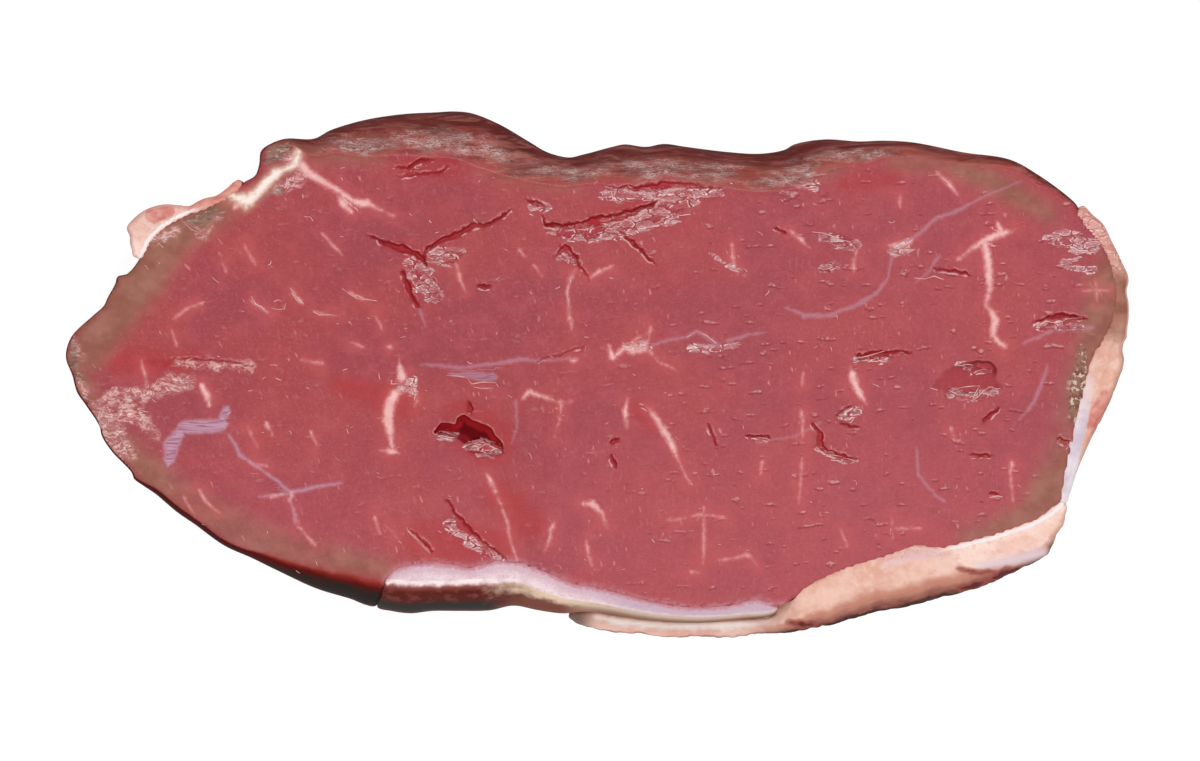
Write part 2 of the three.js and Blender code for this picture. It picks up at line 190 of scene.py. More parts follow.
# Tears, pits and steps: [depth, width of the wall, stroke]. The upper wall is steep and the lower one is a
# ramp, so each tear is a narrow deep line with a broad shallow stroke below it.
TEARS = [
    (1.5, .5, [(-46.6, 28.4, .1), (-42.4, 26.4, .5), (-39, 25.4, .7), (-35.4, 23.8, .5), (-34.4, 22, .2)]),
    (1.2, .5, [(-35.2, 24.6, .2), (-32, 27, .5), (-28, 28.5, .5), (-25.5, 30.1, .45), (-22, 30.3, .4),
               (-19, 32.4, .3), (-17.4, 33.4, .1)]),
    (.9, 1.6, [(-38, 22.6, 1), (-35.4, 19.6, 2.2), (-33.2, 16.4, 1.6), (-32, 15.4, .6)]),
    (.8, 1.4, [(-32.8, 24.4, 1), (-29.8, 23.8, 1.5), (-27.6, 24.6, .8)]),
    (1.3, .5, [(-39.4, 21, .3), (-38.1, 17.6, .5), (-36.2, 13.6, .2)]),
    (1.8, .5, [(-11.2, 32.4, .1), (-10.3, 30.4, .3), (-7, 30, .6), (-3, 30.3, .8), (0, 31.2, .9),
               (3, 31.6, .8), (7, 32.8, .6), (10, 34, .5), (12.6, 35.2, .1)]),
    (1.2, 1.8, [(-10, 29.2, .6), (-6, 28.6, 1.2), (-1, 29, 1.6), (4, 29.9, 1.7), (9, 31.6, 1.8),
                (14, 33.4, 2), (18, 35.6, 1.8)]),
    (1, .5, [(1.6, 38, .1), (8, 37.7, .5), (14, 38.4, .8), (18, 38.4, .6), (25, 37.7, .1)]),
    (.9, .4, [(4, 29.4, .1), (7, 27, .3), (10, 24, .3), (11.6, 22.4, .1)]),
    (.9, .5, [(-14.4, 35.6, .1), (-12.4, 34.8, .6), (-10.4, 34, .1)]),
    (1.1, .5, [(-8.6, 24, .2), (-6.6, 25.6, .7), (-4.4, 24, .4), (-3.6, 22, .3), (-1.4, 19.4, .1)]),
    (1.2, .5, [(-24, 17.8, .3), (-22, 18, .5)]), (1, .4, [(-26, -5.6, .3), (-25.6, -7, .5)]),
    (.7, .3, [(-12, 2.9, .1), (-7, 4.4, .15), (-2.5, 6, .1)]),
    (1.2, .5, [(52.6, 3.6, .6), (56, 4.1, .6), (60, 4.8, .3), (63.4, 4.6, .2)]),
    (1.3, .5, [(88, 10.6, .1), (91, 11.6, .4), (95, 12, .5), (98.8, 11.4, .2)]),
    (.8, 1.1, [(89, 10, .5), (93.6, 9.8, 1.2), (98, 9.6, .8)]),
    (.8, 1, [(45.4, 28, .8), (48.6, 27.4, 1.2), (52, 26.4, .8)]),
    (.8, .8, [(45.6, 21.4, .8), (48, 22.4, .8)]), (1, .5, [(30.2, -12.2, .3), (34.6, -12.6, .4)]),
    (1, .5, [(43.6, -10, .3), (45, -12, .5), (44.8, -14.6, .6), (48, -16, .5), (52.4, -17, .2)]),
    (.8, .4, [(48.6, -8, .4), (51, -6.3, .3)]), (.8, .4, [(49, -10, .3), (53, -10.4, .2)]),
    (.8, .4, [(22.4, -10, .2), (24, -14, .25)]), (1, .4, [(78.2, -9, .5), (81, -6.6, .2)]),
    (.8, .4, [(75, -16, .1), (77.6, -16.4, .4), (80, -16, .1)]),
    (.8, .4, [(79.2, -24, .3), (81.2, -24, .2)]),
    (.9, .5, [(-30.6, -25, .2), (-27, -30, .4), (-23, -34, .4), (-18.4, -37, .2)]),
    (.5, 1.2, [(-29, -30, 1), (-25, -34, 1.4), (-20, -36.6, .8)]),
    (.7, .5, [(-38, -31, .2), (-33.4, -35.4, .3)]),
    (.5, .6, [(-86, 3.4, .1), (-82, 3.2, .3), (-76, 2.9, .3), (-69.4, 2, .1)]),
    (.5, 1.6, [(-91, 3, 1), (-84, 2.4, 1.4), (-76, 1.4, 1)]),
    (1, .4, [(-41, 42, .1), (-38.4, 41.8, .3), (-35.6, 43.4, .4), (-33, 43.6, .2)]),
    (.7, .4, [(-40.4, 40, .1), (-36, 40.6, .2), (-31.4, 41, .25), (-30.2, 42.2, .1)]),
    (.6, .3, [(-20.6, 43.4, .1), (-16, 41.6, .25), (-12.4, 40.4, .1)]),
    (.8, .4, [(68, 21.4, .2), (73.6, 20.8, .4), (75, 20.4, .2)]),
    (.7, .4, [(36, 29.6, .3), (38, 28.6, .3)]), (.8, .4, [(3, -13.6, .6), (4.2, -13, .3)]),
    (.8, .4, [(2.8, -16, .3), (3.6, -18.6, .4)]), (.6, .5, [(93.4, -13, .6), (96, -14, .3)]),
]
# Holes: [depth, rim], the rim with the width of its wall, narrow where it is steep.
PITS = [
    (2.6, [(-33.2, -11.6, .3), (-31.5, -9.7, .3), (-28.9, -9.7, .3), (-28.2, -8.4, .3), (-26.7, -8.1, .3),
           (-25, -9.1, .3), (-21.9, -10.3, .3), (-20.4, -12.3, .3), (-18.9, -14.3, .6), (-19.1, -16, 1.2),
           (-23.2, -16.7, 1.6), (-26.3, -15.6, 1.6), (-26.9, -13.9, 1), (-28.9, -12.8, .8),
           (-31, -12.1, .7)]),
    (.9, [(67.4, -2.5, 2), (69.2, .4, 2), (70.6, 1.6, 1.6), (72.5, 2.2, 1.2), (75.4, 2.8, .8),
          (77, 3.1, .7), (79.6, 2.6, .7), (80.9, 1, .8), (80.6, -.6, 1.2), (82.2, -2.4, 1.6),
          (80.8, -4, 2.2), (77.3, -5.2, 2.4), (73.7, -4.6, 2.4), (70.3, -5, 2.4), (69, -3.4, 2.2)]),
]
# Torn, wet patches whose wrinkles catch the light.
TORN = [
    [(-38, 22.4, 1.2), (-35.4, 19.4, 2.2), (-33, 16.4, 1.6)],
    [(-33.6, 24.4, 1), (-29.8, 24, 1.6), (-27, 24.8, .6)],
    [(-10, 28.8, .5), (-4, 28.6, 1.2), (3, 29.4, 1.7), (9, 31.6, 2), (15, 33.6, 2.4), (18.6, 36, 1.8)],
    [(1, 36.6, .6), (8, 36.4, 1.2), (16, 36.6, 1.6), (24, 37, .8)], [(-6.8, 24.2, .9), (-4.6, 23, .6)],
    [(-13, 34, .8), (-10.6, 33.6, .5)], [(-32, -11.9, .4), (-29.6, -12.2, .5)],
    [(-26, -14.6, .5), (-23.6, -14.2, 1.3), (-20.4, -14.9, 1)],
    [(71.4, -3.8, .2), (75.4, -4.2, .5), (80.4, -3.6, .4)], [(73, 2, .3), (75.6, 1.6, .2)],
    [(75.6, .4, .3), (79.2, .8, .2)], [(-39.6, -2.6, .4), (-37.6, -1.6, 1.1), (-36.8, -3.6, .6)],
    [(89, 9.8, .2), (93.6, 9.6, .6), (98, 9.8, .3)], [(52.6, 2.9, .1), (58, 3.2, .2)],
    [(45.6, 27.6, .4), (49, 27, .8), (52, 26.2, .3)], [(45.6, 21, .7), (48, 22, .7)],
    [(-106, 7, .2), (-104.8, 4, .5)], [(-105, -1, .3), (-103.4, -4, .8)],
    [(-101.6, -6, 1), (-99.6, -8.6, 2), (-97.4, -12.4, 2.2), (-94.6, -15.4, 1.4)],
    [(-99, -4.4, .8), (-95, -4.2, 1.4), (-90, -3.4, 1.3), (-86, -1.6, 1.6), (-82, -1.2, .9)],
    [(-94.6, -7, 1.6), (-91.6, -9.6, 1.2), (-89.6, -12.4, .7)],
    [(-85, 2.4, .4), (-78, 2.2, .5), (-70, 1.6, .6)], [(-30, -30.4, .5), (-24, -34.6, .8), (-19, -37, .3)],
    [(44.6, -14.8, .4), (48, -16.6, .3), (52, -17.6, .1)], [(48.8, -8.8, .5), (52.6, -6.8, .4)],
    [(93.6, -13.4, .6), (96, -14.2, .4)], [(30, -13.4, 0), (34.6, -13.6, .1)],
    [(22, 25, -.1), (30, 20, -.1)], [(37, 40.6, .9), (44, 37.6, .9)],
    [(-91.6, 26.4, .4), (-88, 27.6, .8), (-85, 29, .3)],
    [(-64.8, 37.2, .5), (-62, 38.4, 1), (-59.6, 40.2, .7)], [(-62.8, 44.4, .5), (-61.6, 43, .5)],
    [(-83.6, 31, .1), (-81, 29.2, .3), (-79.2, 28.2, .3)], [(-78.6, 30, .1), (-77.2, 32, .4)],
    [(91.4, 27, .6), (94, 27.4, 1.3), (97.4, 26.4, 1.7), (100.4, 25.4, 1.2)],
    [(94.4, 22.6, .3), (100, 21.4, .5)], [(18.8, 5.6, .1), (24, 5, .3), (28.6, 6.4, .1)],
    [(60, 25.4, .8), (62.6, 26.2, .8)], [(5.6, 5.8, .5), (9.6, 6, .9)],
]
# Brown, fibrous or grainy spots.
BROWN = [
    [(-66.8, 43.2, .5), (-65.2, 44.6, 1.5), (-62.8, 45.8, 1)],
    [(-82.6, 31.4, .3), (-79.6, 31.4, 1), (-77.4, 33, .8)],
    [(-105.6, 6, .3), (-105.8, 2.6, .7), (-104.4, -1, .3)],
    [(98, 5.6, .4), (97.6, 2, .9), (97.2, -2, 1.5), (96.8, -5.4, 1.6), (96, -9, .6)],
    [(-65.8, 36.8, .1), (-63.6, 37.4, .4)],
]
# Where air has turned the meat brown-grey, and where it is a fresher red.
AGED = [
    [(-104, 5, 4.5), (-101, 8, 4), (-97, 13, 4), (-92, 20, 4.5), (-87, 27, 4), (-80, 31.5, 2.8),
     (-74, 34.5, 2)],
    [(-104.6, -2, 2.4), (-101, -9, 2.6), (-95, -15, 2.2), (-90, -20, 2.6), (-82, -26.6, 3.2),
     (-72, -32, 3.2), (-62, -35.6, 2.8), (-52, -37.6, 2.4), (-44, -39, 1.6)],
    [(60, 43, 1), (70, 42.4, 1.5), (79, 39.6, 1.9), (86, 35.6, 1.7), (91, 32.6, 1.2)],
    [(103.6, 24, 1.4), (103, 18, 4), (101.6, 12, 4), (100, 6, 2.6), (96.6, -2, 2.2), (95, -9, 2.2)],
    [(94.6, -14, 3), (93, -21, 4), (89, -27, 3.2), (82, -30.4, 1.8), (74, -32.6, .8)],
    [(20, 41, .2), (28, 39.6, .8), (36, 39.6, 1), (48, 42, 1)],
    [(-57.6, 43.4, .2), (-51, 44, .6), (-44, 43.8, .2)], [(-24, 41, -.8), (-12, 38, -.3), (-4, 37.4, -.8)],
]
FRESH = [
    [(-97, 3, 2), (-90, 2.6, 2.4), (-82, 3.4, 1.6)], [(-64, -38, 1), (-53, -40.6, 1), (-44, -41, 1)],
    [(-36, -33, 3), (-28, -34, 3.4), (-19, -34, 2)], [(-27, -10, 4.6), (-22, -13, 5)],
    [(-20, -24, 3), (-14, -30, 3)], [(0, 31.4, 1.2), (10, 34.2, 1), (18, 37.4, 1)],
    [(7.2, -6.6, 1.3), (9.6, -8.6, 1), (11, -11, .6)], [(-41, 26, .8), (-37, 25, .9), (-38, 17.4, .8)],
    [(-12, 42.4, 2), (4, 42, 2.4)], [(60, 40, 1.4), (50, 38.6, 1.2)], [(-30, 42, 2), (-38, 42, 1.4)],
    [(-52, -2, 1.5), (-40, -6, 3)],
]


def smooth_loop(rows, step):
    """Points about one step apart on a smooth closed curve through the rows."""
    p = np.array(rows, float)
    ahead = np.roll(p, -1, axis=0) - p
    gap = np.sqrt(np.linalg.norm(ahead[:, :2], axis=1))[:, None]
    slope = ahead / gap
    back_slope, back_gap = np.roll(slope, 1, axis=0), np.roll(gap, 1, axis=0)
    tangent = (slope * back_gap + back_slope * gap) / (gap + back_gap)
    next_p, next_tangent = np.roll(p, -1, axis=0), np.roll(tangent, -1, axis=0)
    points = []
    for a, b, m, n, h in zip(p, next_p, tangent, next_tangent, gap):
        for t in np.arange(0, 1, 1 / max(1, round(h[0] ** 2 / step))):
            points.append((2 * t**3 - 3 * t**2 + 1) * a + (t**3 - 2 * t**2 + t) * h * m
                          + (3 * t**2 - 2 * t**3) * b + (t**3 - t**2) * h * n)
    return np.array(points)


def close_to(xy, points, reach):
    """Which of xy lie in the box round these points, or less than the reach outside it."""
    return np.flatnonzero(np.all((xy > points.min(0) - reach) & (xy < points.max(0) + reach), axis=1))


def stroke_depth(xy, strokes, reach=4.0):
    """How deep each point lies inside the nearest stroke, in millimetres. Outside it is negative, down to
    -reach."""
    deepest = np.full(len(xy), -float(reach))
    for stroke in strokes:
        s = np.array(stroke, float)
        near = close_to(xy, s[:, :2], s[:, 2].max() + reach)
        q = xy[near]
        for a, b in zip(s[:-1], s[1:]):
            line = b[:2] - a[:2]
            t = np.clip((q - a[:2]) @ line / max(line @ line, 1e-9), 0, 1)
            away = np.linalg.norm(q - a[:2] - t[:, None] * line, axis=1)
            deepest[near] = np.maximum(deepest[near], a[2] + t * (b[2] - a[2]) - away)
    return deepest


def stroke_across(xy, strokes, reach=1.6):
    """For thin lines: each point's signed distance across the nearest stroke, the half width there, and how
    deep it lies in another stroke. The first two stay even across the line, so that it keeps its edge on a
    coarse mesh. Beside and beyond the line the half width drops below 0."""
    best, other = np.full(len(xy), -float(reach)), np.full(len(xy), -float(reach))
    across, half = np.full(len(xy), float(reach)), np.full(len(xy), -float(reach))
    for stroke in strokes:
        s = np.array(stroke, float)
        s = s if s[-1, 0] >= s[0, 0] else s[::-1]
        near = close_to(xy, s[:, :2], s[:, 2].max() + reach)
        q = xy[near]
        last = len(s) - 2
        earlier = best[near].copy()
        for i, (a, b) in enumerate(zip(s[:-1], s[1:])):
            line = b[:2] - a[:2]
            length = max(np.linalg.norm(line), 1e-6)
            ahead, left = line / length, np.array([-line[1], line[0]]) / length
            along = (q - a[:2]) @ ahead
            beyond = np.maximum(0, np.maximum(-along, along - length))
            t = np.clip(along / length, 0, 1)
            offset, width = (q - a[:2]) @ left, a[2] + t * (b[2] - a[2])
            inner = ((along < 0) & (i > 0)) | ((along > length) & (i < last))
            depth = width - np.hypot(offset, beyond)
            better = depth > best[near]
            chosen = near[better]
            best[chosen] = depth[better]
            side = np.where(offset < 0, -1, 1)
            across[chosen] = np.where(inner, side * np.hypot(offset, beyond), offset)[better]
            past = np.where(inner, 0, beyond) + 2 * np.maximum(0, np.abs(offset) - width - .8)
            half[chosen] = (width - past)[better]
        other[near] = np.maximum(other[near], np.minimum(earlier, stroke_depth(q, [stroke], reach)))
    return np.stack([across, np.maximum(half, -reach), other], axis=1)


def ease(value, start, end):
    """0 before start and 1 after end, with a smooth step between."""
    t = np.clip((value - start) / (end - start), 0, 1)
    return t * t * (3 - 2 * t)


def ripples(xy, size, seed, octaves=2):
    """Smooth noise from -1 to 1 over the points, with bumps about this size in millimetres."""
    shift = Vector((seed * 17.3, seed * 5.1, seed))
    spots = (Vector((x / size, y / size, 0)) + shift for x, y in xy)
    return np.array([noise.fractal(spot, 1.0, 2.0, octaves) for spot in spots])


def face_height(xy):
    """Height of the cut face above the board."""
    x, y = xy[:, 0], xy[:, 1]
    wave = np.sin(x / 17 + .6) * np.cos(y / 13) + .6 * np.sin(x / 9 - y / 11)
    return FACE_HEIGHT - END_DROP * np.abs(x / HALF_LENGTH) ** 3 + .28 * wave


class Rim:
    """A layer's rim as closely spaced points, with the way out of the layer at each. Where its shoulder is
    narrow it lies against another layer, and there it may lap over that one, with a frayed edge. Elsewhere it
    may be rough, with small nicks."""

    def __init__(self, rows, lap=0.0, fray=0.0, rough=0.0):
        points = smooth_loop(rows, .2)
        ahead = np.roll(points[:, :2], -1, axis=0) - np.roll(points[:, :2], 1, axis=0)
        ahead /= np.linalg.norm(ahead, axis=1)[:, None]
        x, y = points[:, 0], points[:, 1]
        turn = np.sign(np.sum(x * np.roll(y, -1) - np.roll(x, -1) * y))
        seam = ease(-points[:, 2], -.8, -.5) * (lap > 0)
        self.shoulder = np.maximum(points[:, 2], .2)
        self.fall = np.minimum(1.8 * self.shoulder, DEEPEST_SHOULDER) * (1 - .8 * seam)
        self.out = np.stack([ahead[:, 1], -ahead[:, 0]], axis=1) * turn
        nicks = rough * np.minimum(0, ripples(points[:, :2], 2.2, 22, 3) - .3) * ease(points[:, 2], .85, 1.2)
        reach = seam * (lap + fray * ripples(points[:, :2], 1.3, 21, 3)) + nicks
        self.xy = points[:, :2] + self.out * reach[:, None]
        self.along = np.concatenate([[0], np.cumsum(np.linalg.norm(np.diff(self.xy, axis=0), axis=1))])
        self.tree = kdtree.KDTree(len(points))
        for i, (px, py) in enumerate(self.xy):
            self.tree.insert((px, py, 0), i)
        self.tree.balance()

    def nearest(self, xy):
        """For each point the number of the nearest rim point, and how far inside the rim the point lies."""
        found = [self.tree.find((x, y, 0)) for x, y in xy]
        index = np.array([f[1] for f in found])
        away = np.array([f[2] for f in found])
        side = np.sum((self.xy[index] - xy) * self.out[index], axis=1)
        return index, np.where(side >= 0, away, -away)


def slab(name, rim, cell, under_cell, finer=None, rings=10):
    """A closed slice seen from above as the rim: a fine flat top, sides pulled down from it, and an underside
    of squares. Heights come later. The layer "ring" is 0 on top, 0 to 1 down the side, 2 on the underside."""
    bm = bmesh.new()
    ring_of = bm.verts.layers.float.new("ring")
    lowest, highest = rim.xy.min(0) - cell, rim.xy.max(0) + cell
    counts = [int(math.ceil(n)) for n in (highest - lowest) / cell]
    bmesh.ops.create_grid(bm, x_segments=counts[0], y_segments=counts[1], size=.5)
    bm.verts.index_update()
    xy = (np.array([v.co[:2] for v in bm.verts]) + .5) * (highest - lowest) + lowest
    for v, (x, y) in zip(bm.verts, xy):
        v.co = (x, y, 0)
    inside = rim.nearest(xy)[1]
    outer = [f for f in bm.faces if sum(inside[v.index] for v in f.verts) < 0]
    bmesh.ops.delete(bm, geom=outer, context="FACES")
    pinched = [v.link_faces[0] for v in bm.verts if sum(e.is_boundary for e in v.link_edges) > 2]
    bmesh.ops.delete(bm, geom=list(set(pinched)), context="FACES")
    if finer:
        centres = np.array([f.calc_center_median()[:2] for f in bm.faces])
        chosen = finer(centres)
        edges = {e for f, wanted in zip(bm.faces, chosen) if wanted for e in f.edges}
        bmesh.ops.subdivide_edges(bm, edges=list(edges), cuts=2, use_grid_fill=True)

    # The outermost points go onto the rim, and those behind them even out.
    edge_verts = [v for v in bm.verts if v.is_boundary]
    index, _ = rim.nearest([v.co[:2] for v in edge_verts])
    for v, i in zip(edge_verts, index):
        v.co = (*rim.xy[i], 0)
    bmesh.ops.remove_doubles(bm, verts=edge_verts, dist=cell * .15)
    edge_verts = {v for v in bm.verts if v.is_boundary}
    second = {e.other_vert(v) for v in edge_verts for e in v.link_edges} - edge_verts
    third = {e.other_vert(v) for v in second for e in v.link_edges} - edge_verts
    for _ in range(3):
        bmesh.ops.smooth_vert(bm, verts=list(second | third), factor=.5, use_axis_x=True, use_axis_y=True)

    # The side goes down in rings that turn in at the foot.
    loop = [e for e in bm.edges if e.is_boundary]
    for ring in range(1, rings + 1):
        share = ring / rings
        made = bmesh.ops.extrude_edge_only(bm, edges=loop)["geom"]
        verts = [g for g in made if isinstance(g, bmesh.types.BMVert)]
        loop = [g for g in made if isinstance(g, bmesh.types.BMEdge)]
        index, _ = rim.nearest([v.co[:2] for v in verts])
        for v, i in zip(verts, index):
            tuck = .45 * min(rim.shoulder[i], 3) * max(0, (share - .5) / .5) ** 2
            v.co = (*(rim.xy[i] - rim.out[i] * tuck), 0)
            v[ring_of] = share
        loop = [e for e in loop if e.is_boundary]

    # The underside is one face cut into squares.
    rest = bmesh.ops.contextual_create(bm, geom=loop)["faces"]
    for axis in (0, 1):
        done = []
        start, end = lowest[axis] + under_cell, highest[axis]
        normal = [1.0 - axis, float(axis), 0]
        for place in np.arange(start, end, under_cell):
            geom = list({g for f in rest for g in (f, *f.edges, *f.verts)})
            cut = bmesh.ops.bisect_plane(bm, geom=geom, dist=under_cell * .08, plane_no=normal,
                                         plane_co=[place * n for n in normal])
            faces = [g for g in cut["geom"] if isinstance(g, bmesh.types.BMFace)]
            beyond = [f.calc_center_median()[axis] > place for f in faces]
            done += [f for f, b in zip(faces, beyond) if not b]
            rest = [f for f, b in zip(faces, beyond) if b]
            if not rest:
                break
        rest = done + rest
    under = set(rest)
    for v in {v for f in under for v in f.verts}:
        v[ring_of] = 2 if under.issuperset(v.link_faces) else 1
    bmesh.ops.recalc_face_normals(bm, faces=bm.faces)
    mesh = bpy.data.meshes.new(name)
    bm.to_mesh(mesh)
    bm.free()
    mesh.shade_smooth()
    return mesh


def store(mesh, **attributes):
    """Stores numbers, or vectors, on the points of the mesh under these names."""
    for name, values in attributes.items():
        kind, field = ("FLOAT", "value") if values.ndim == 1 else ("FLOAT_VECTOR", "vector")
        if values.ndim == 2:
            values = np.pad(values, [(0, 0), (0, 3 - values.shape[1])])
        mesh.attributes.new(name, kind, "POINT").data.foreach_set(field, values.astype(np.float32).ravel())


def raise_slab(mesh, rim, height, relief=None, outline=None):
    """Gives a flat slab its heights and stores where each point is. The outline is the rim whose shoulder it
    shares. The attribute "side" is 0 on the face and rises to 1 across the rounded shoulder and to 2 at the
    foot; "skin" runs round the outline and down the side."""
    outline = outline or rim
    count = len(mesh.vertices)
    co, ring = np.empty(count * 3, np.float32), np.empty(count, np.float32)
    mesh.vertices.foreach_get("co", co)
    mesh.attributes["ring"].data.foreach_get("value", ring)
    co = co.reshape(-1, 3).astype(float)
    xy = co[:, :2].copy()
    on_top, under = ring == 0, ring == 2
    own, own_inside = rim.nearest(xy)
    spot = np.where(on_top[:, None], xy, rim.xy[own])       # a point of the side hangs from the rim
    index, inside = outline.nearest(spot)
    shoulder, fall = outline.shoulder[index], outline.fall[index]
    across = np.clip(1 - inside / shoulder, 0, 1)
    turned = np.arcsin(across * math.sin(STEEPEST))
    drop = fall * (1 - np.cos(turned)) / (1 - math.cos(STEEPEST))
    cut = relief(xy) if relief else np.zeros(count)
    top = height(spot) - drop
    co[:, 2] = np.where(on_top, top - cut * (1 - across ** 2), top * (1 - np.minimum(ring, 1)))
    co[under, 2] = np.clip(cut[under] * .12, 0, .5)
    side = np.where(on_top, across, 1 + ring)
    side[under] = 2 * (1 - ease(own_inside[under], .4, 2))
    depth = drop + np.where(on_top, 0, top * np.minimum(ring, 1))

    # The wall below the shoulder has soft folds. They lean inwards, so the outline stays.
    along = outline.along[index]
    folds = .55 + .6 * ripples(np.stack([along, depth * 2], axis=1), 8, 41) \
        + .3 * ripples(np.stack([along, depth * 2.5], axis=1), 2.4, 42)
    push = np.clip(folds, 0, 1.2) * ease(ring, 0, .3) * ease(shoulder, .5, .9) * ~on_top
    push *= 1 - .75 * ease(ring, .75, 1) - under
    co[:, :2] -= outline.out[index] * np.maximum(push, 0)[:, None]
    store(
        mesh,
        side=side,
        shoulder=shoulder,
        skin=np.stack([outline.along[index], depth, 0 * depth], axis=1) * MM,
    )
    co *= MM
    mesh.vertices.foreach_set("co", co.astype(np.float32).ravel())
    mesh.update()
    return xy, on_top, cut


def frayed(xy):
    """The points moved a little to and fro, so that what is drawn at them comes out ragged."""
    return xy + .45 * np.stack([ripples(xy, 1.5, 31, 3), ripples(xy, 1.5, 32, 3)], axis=1)


def in_pit(xy, rim):
    """How far inside the rim of a pit each point lies, and the width of its wall there."""
    inside, wall = np.full(len(xy), -2.0), np.ones(len(xy))
    near = close_to(xy, rim.xy, 2)
    if len(near):
        index, found = rim.nearest(xy[near])
        inside[near], wall[near] = np.maximum(found, -2), rim.shoulder[index]
    return inside, wall


def lean_relief(xy):
    """How far the cut face is sunk in millimetres: tears, pits, wrinkles where torn, bundles of fibres."""
    sunk = np.zeros(len(xy))
    ragged = frayed(xy)
    for depth, wall, stroke in TEARS:
        sunk = np.maximum(sunk, .7 * depth * ease(stroke_depth(ragged, [stroke], 1), -.2, wall * .9))
    torn = ease(stroke_depth(ragged, TORN, 2), -.3, .3)
    for depth, rim in pits:
        inside, wall = in_pit(.5 * (xy + ragged), rim)
        sunk = np.maximum(sunk, depth * ease(inside, 0, wall) * (1 - .5 * torn))
    wrinkles = .5 - np.abs(ripples(xy * (1, 1.8), 1.4, 3))
    return sunk + .35 * torn * wrinkles + .05 * ripples(xy, 3.2, 1) + .15 * ripples(xy, 14, 2) \
        - .1 * ease(stroke_depth(xy, MARBLING, 1), -.4, .6)


def lean_needs_detail(xy):
    """True where the face is torn and its squares are cut in nine."""
    tears = [stroke for _, _, stroke in TEARS]
    forks = np.maximum(stroke_across(xy, MARBLING)[:, 2], stroke_across(xy, CONNECTIVE)[:, 2])
    in_pits = np.max([in_pit(xy, rim)[0] for _, rim in pits], axis=0)
    ragged = np.maximum(stroke_depth(xy, tears, 1.2), stroke_depth(xy, CREAM, 1.2))
    return (ragged > -.3) | (stroke_depth(xy, TORN, 1.2) > .2) | (forks > -.8) | (in_pits > -.4)


pits = [(depth, Rim(rows)) for depth, rows in PITS]
lean_rim = Rim(GRISTLE_SEAM + LEAN_SIDE)
slice_rim = Rim(LEAN_SIDE + GRISTLE_SIDE[::-1])      # lean and gristle share one rounded edge
lean_mesh = slab("lean_muscle", lean_rim, cell=.62, under_cell=1.6, finer=lean_needs_detail)
lean_xy, lean_top, lean_sunk = raise_slab(lean_mesh, lean_rim, face_height, lean_relief, slice_rim)

# The streaks go deep, so they come out on the underside too, a little displaced.
UNDERSIDE_DRIFT = 2.5
drift = np.stack([ripples(lean_xy, 30, 7), ripples(lean_xy, 30, 8)], axis=1) * UNDERSIDE_DRIFT
lean_marks = np.where(lean_top[:, None], lean_xy, lean_xy + drift)
lean_ragged = frayed(lean_xy)
slant = np.interp(lean_xy[:, 0], (-100, -30, 20, 60), (.55, .3, .1, .02))
grain = np.stack([lean_xy[:, 0] + slant * lean_xy[:, 1], lean_xy[:, 1], 0 * slant], axis=1) * MM
narrow_tears = [stroke for _, wall, stroke in TEARS if wall < .7]
pit_places = [np.stack(in_pit(.5 * (lean_xy + lean_ragged), rim), axis=1) for _, rim in pits]
pit_place = np.where(pit_places[0][:, :1] > pit_places[1][:, :1], *pit_places)
store(
    lean_mesh,
    grain=grain,
    marbling=stroke_across(lean_marks, MARBLING),
    connective=stroke_across(lean_marks, CONNECTIVE),
    cream=np.where(lean_top, stroke_depth(lean_xy, CREAM, 2), -2),
    low=ease(lean_xy[:, 1], 10, -12),
    pink=.5 * ease(lean_xy[:, 0], -60, 70) + .5 * ease(-lean_xy[:, 1], -5, 35),
    tears=stroke_across(lean_ragged, narrow_tears),
    seam=ease(lean_rim.nearest(lean_xy)[1], 1.6, 0) * (stroke_depth(lean_xy, [GRISTLE_SEAM]) > -2),
    halo=ease(stroke_depth(lean_marks, MARBLING, 3), -2.8, .2),
    brown=np.where(lean_top, stroke_depth(lean_ragged, BROWN, 2), -2),
    pit=np.where(lean_top[:, None], pit_place, (-2, 1)),
    torn=np.where(lean_top, stroke_depth(lean_ragged, TORN, 2), -2),
    aged=ease(stroke_depth(lean_xy, AGED, 6), -3, 2.5),
    fresh=ease(stroke_depth(lean_xy, FRESH, 5), -2, 1.2) * lean_top,
    sunk=lean_sunk * lean_top,
)


def colour(code):
    """Linear colour from a hex code as a paint chart gives it."""
    parts = [int(code[i:i + 2], 16) / 255 for i in (0, 2, 4)]
    return (*[c / 12.92 if c <= .04045 else ((c + .055) / 1.055) ** 2.4 for c in parts], 1)


def give(socket, value):
    """Links the socket to another one's value, or sets it to a plain value or a colour's hex code."""
    if isinstance(value, bpy.types.NodeSocket):
        tree.links.new(value, socket)
    else:
        socket.default_value = colour(value) if isinstance(value, str) else value


def put(kind, inputs, out=0, **settings):
    """Adds a shader node to the tree in hand, gives its inputs their values, and gives back one output."""
    node = tree.nodes.new("ShaderNode" + kind)
    for key, value in settings.items():
        setattr(node, key, value)
    for key, value in inputs.items():
        give(node.inputs[key], value)
    return node.outputs[out]


def stored(name, out="Fac"):
    """An attribute of the mesh."""
    return put("Attribute", {}, out, attribute_name=name)


def place():
    """Where a point is on the piece."""
    return put("TexCoord", {}, "Object")


def parts_of(vector):
    """The three numbers of a vector, under the names X, Y and Z."""
    return put("SeparateXYZ", {0: vector}).node.outputs


def stretched(vector, factors):
    """The vector with each of its numbers times its own factor."""
    return put("VectorMath", {0: vector, 1: factors}, operation="MULTIPLY")


def moved(vector, step):
    """The vector with the step added."""
    return put("VectorMath", {0: vector, 1: step}, operation="ADD")


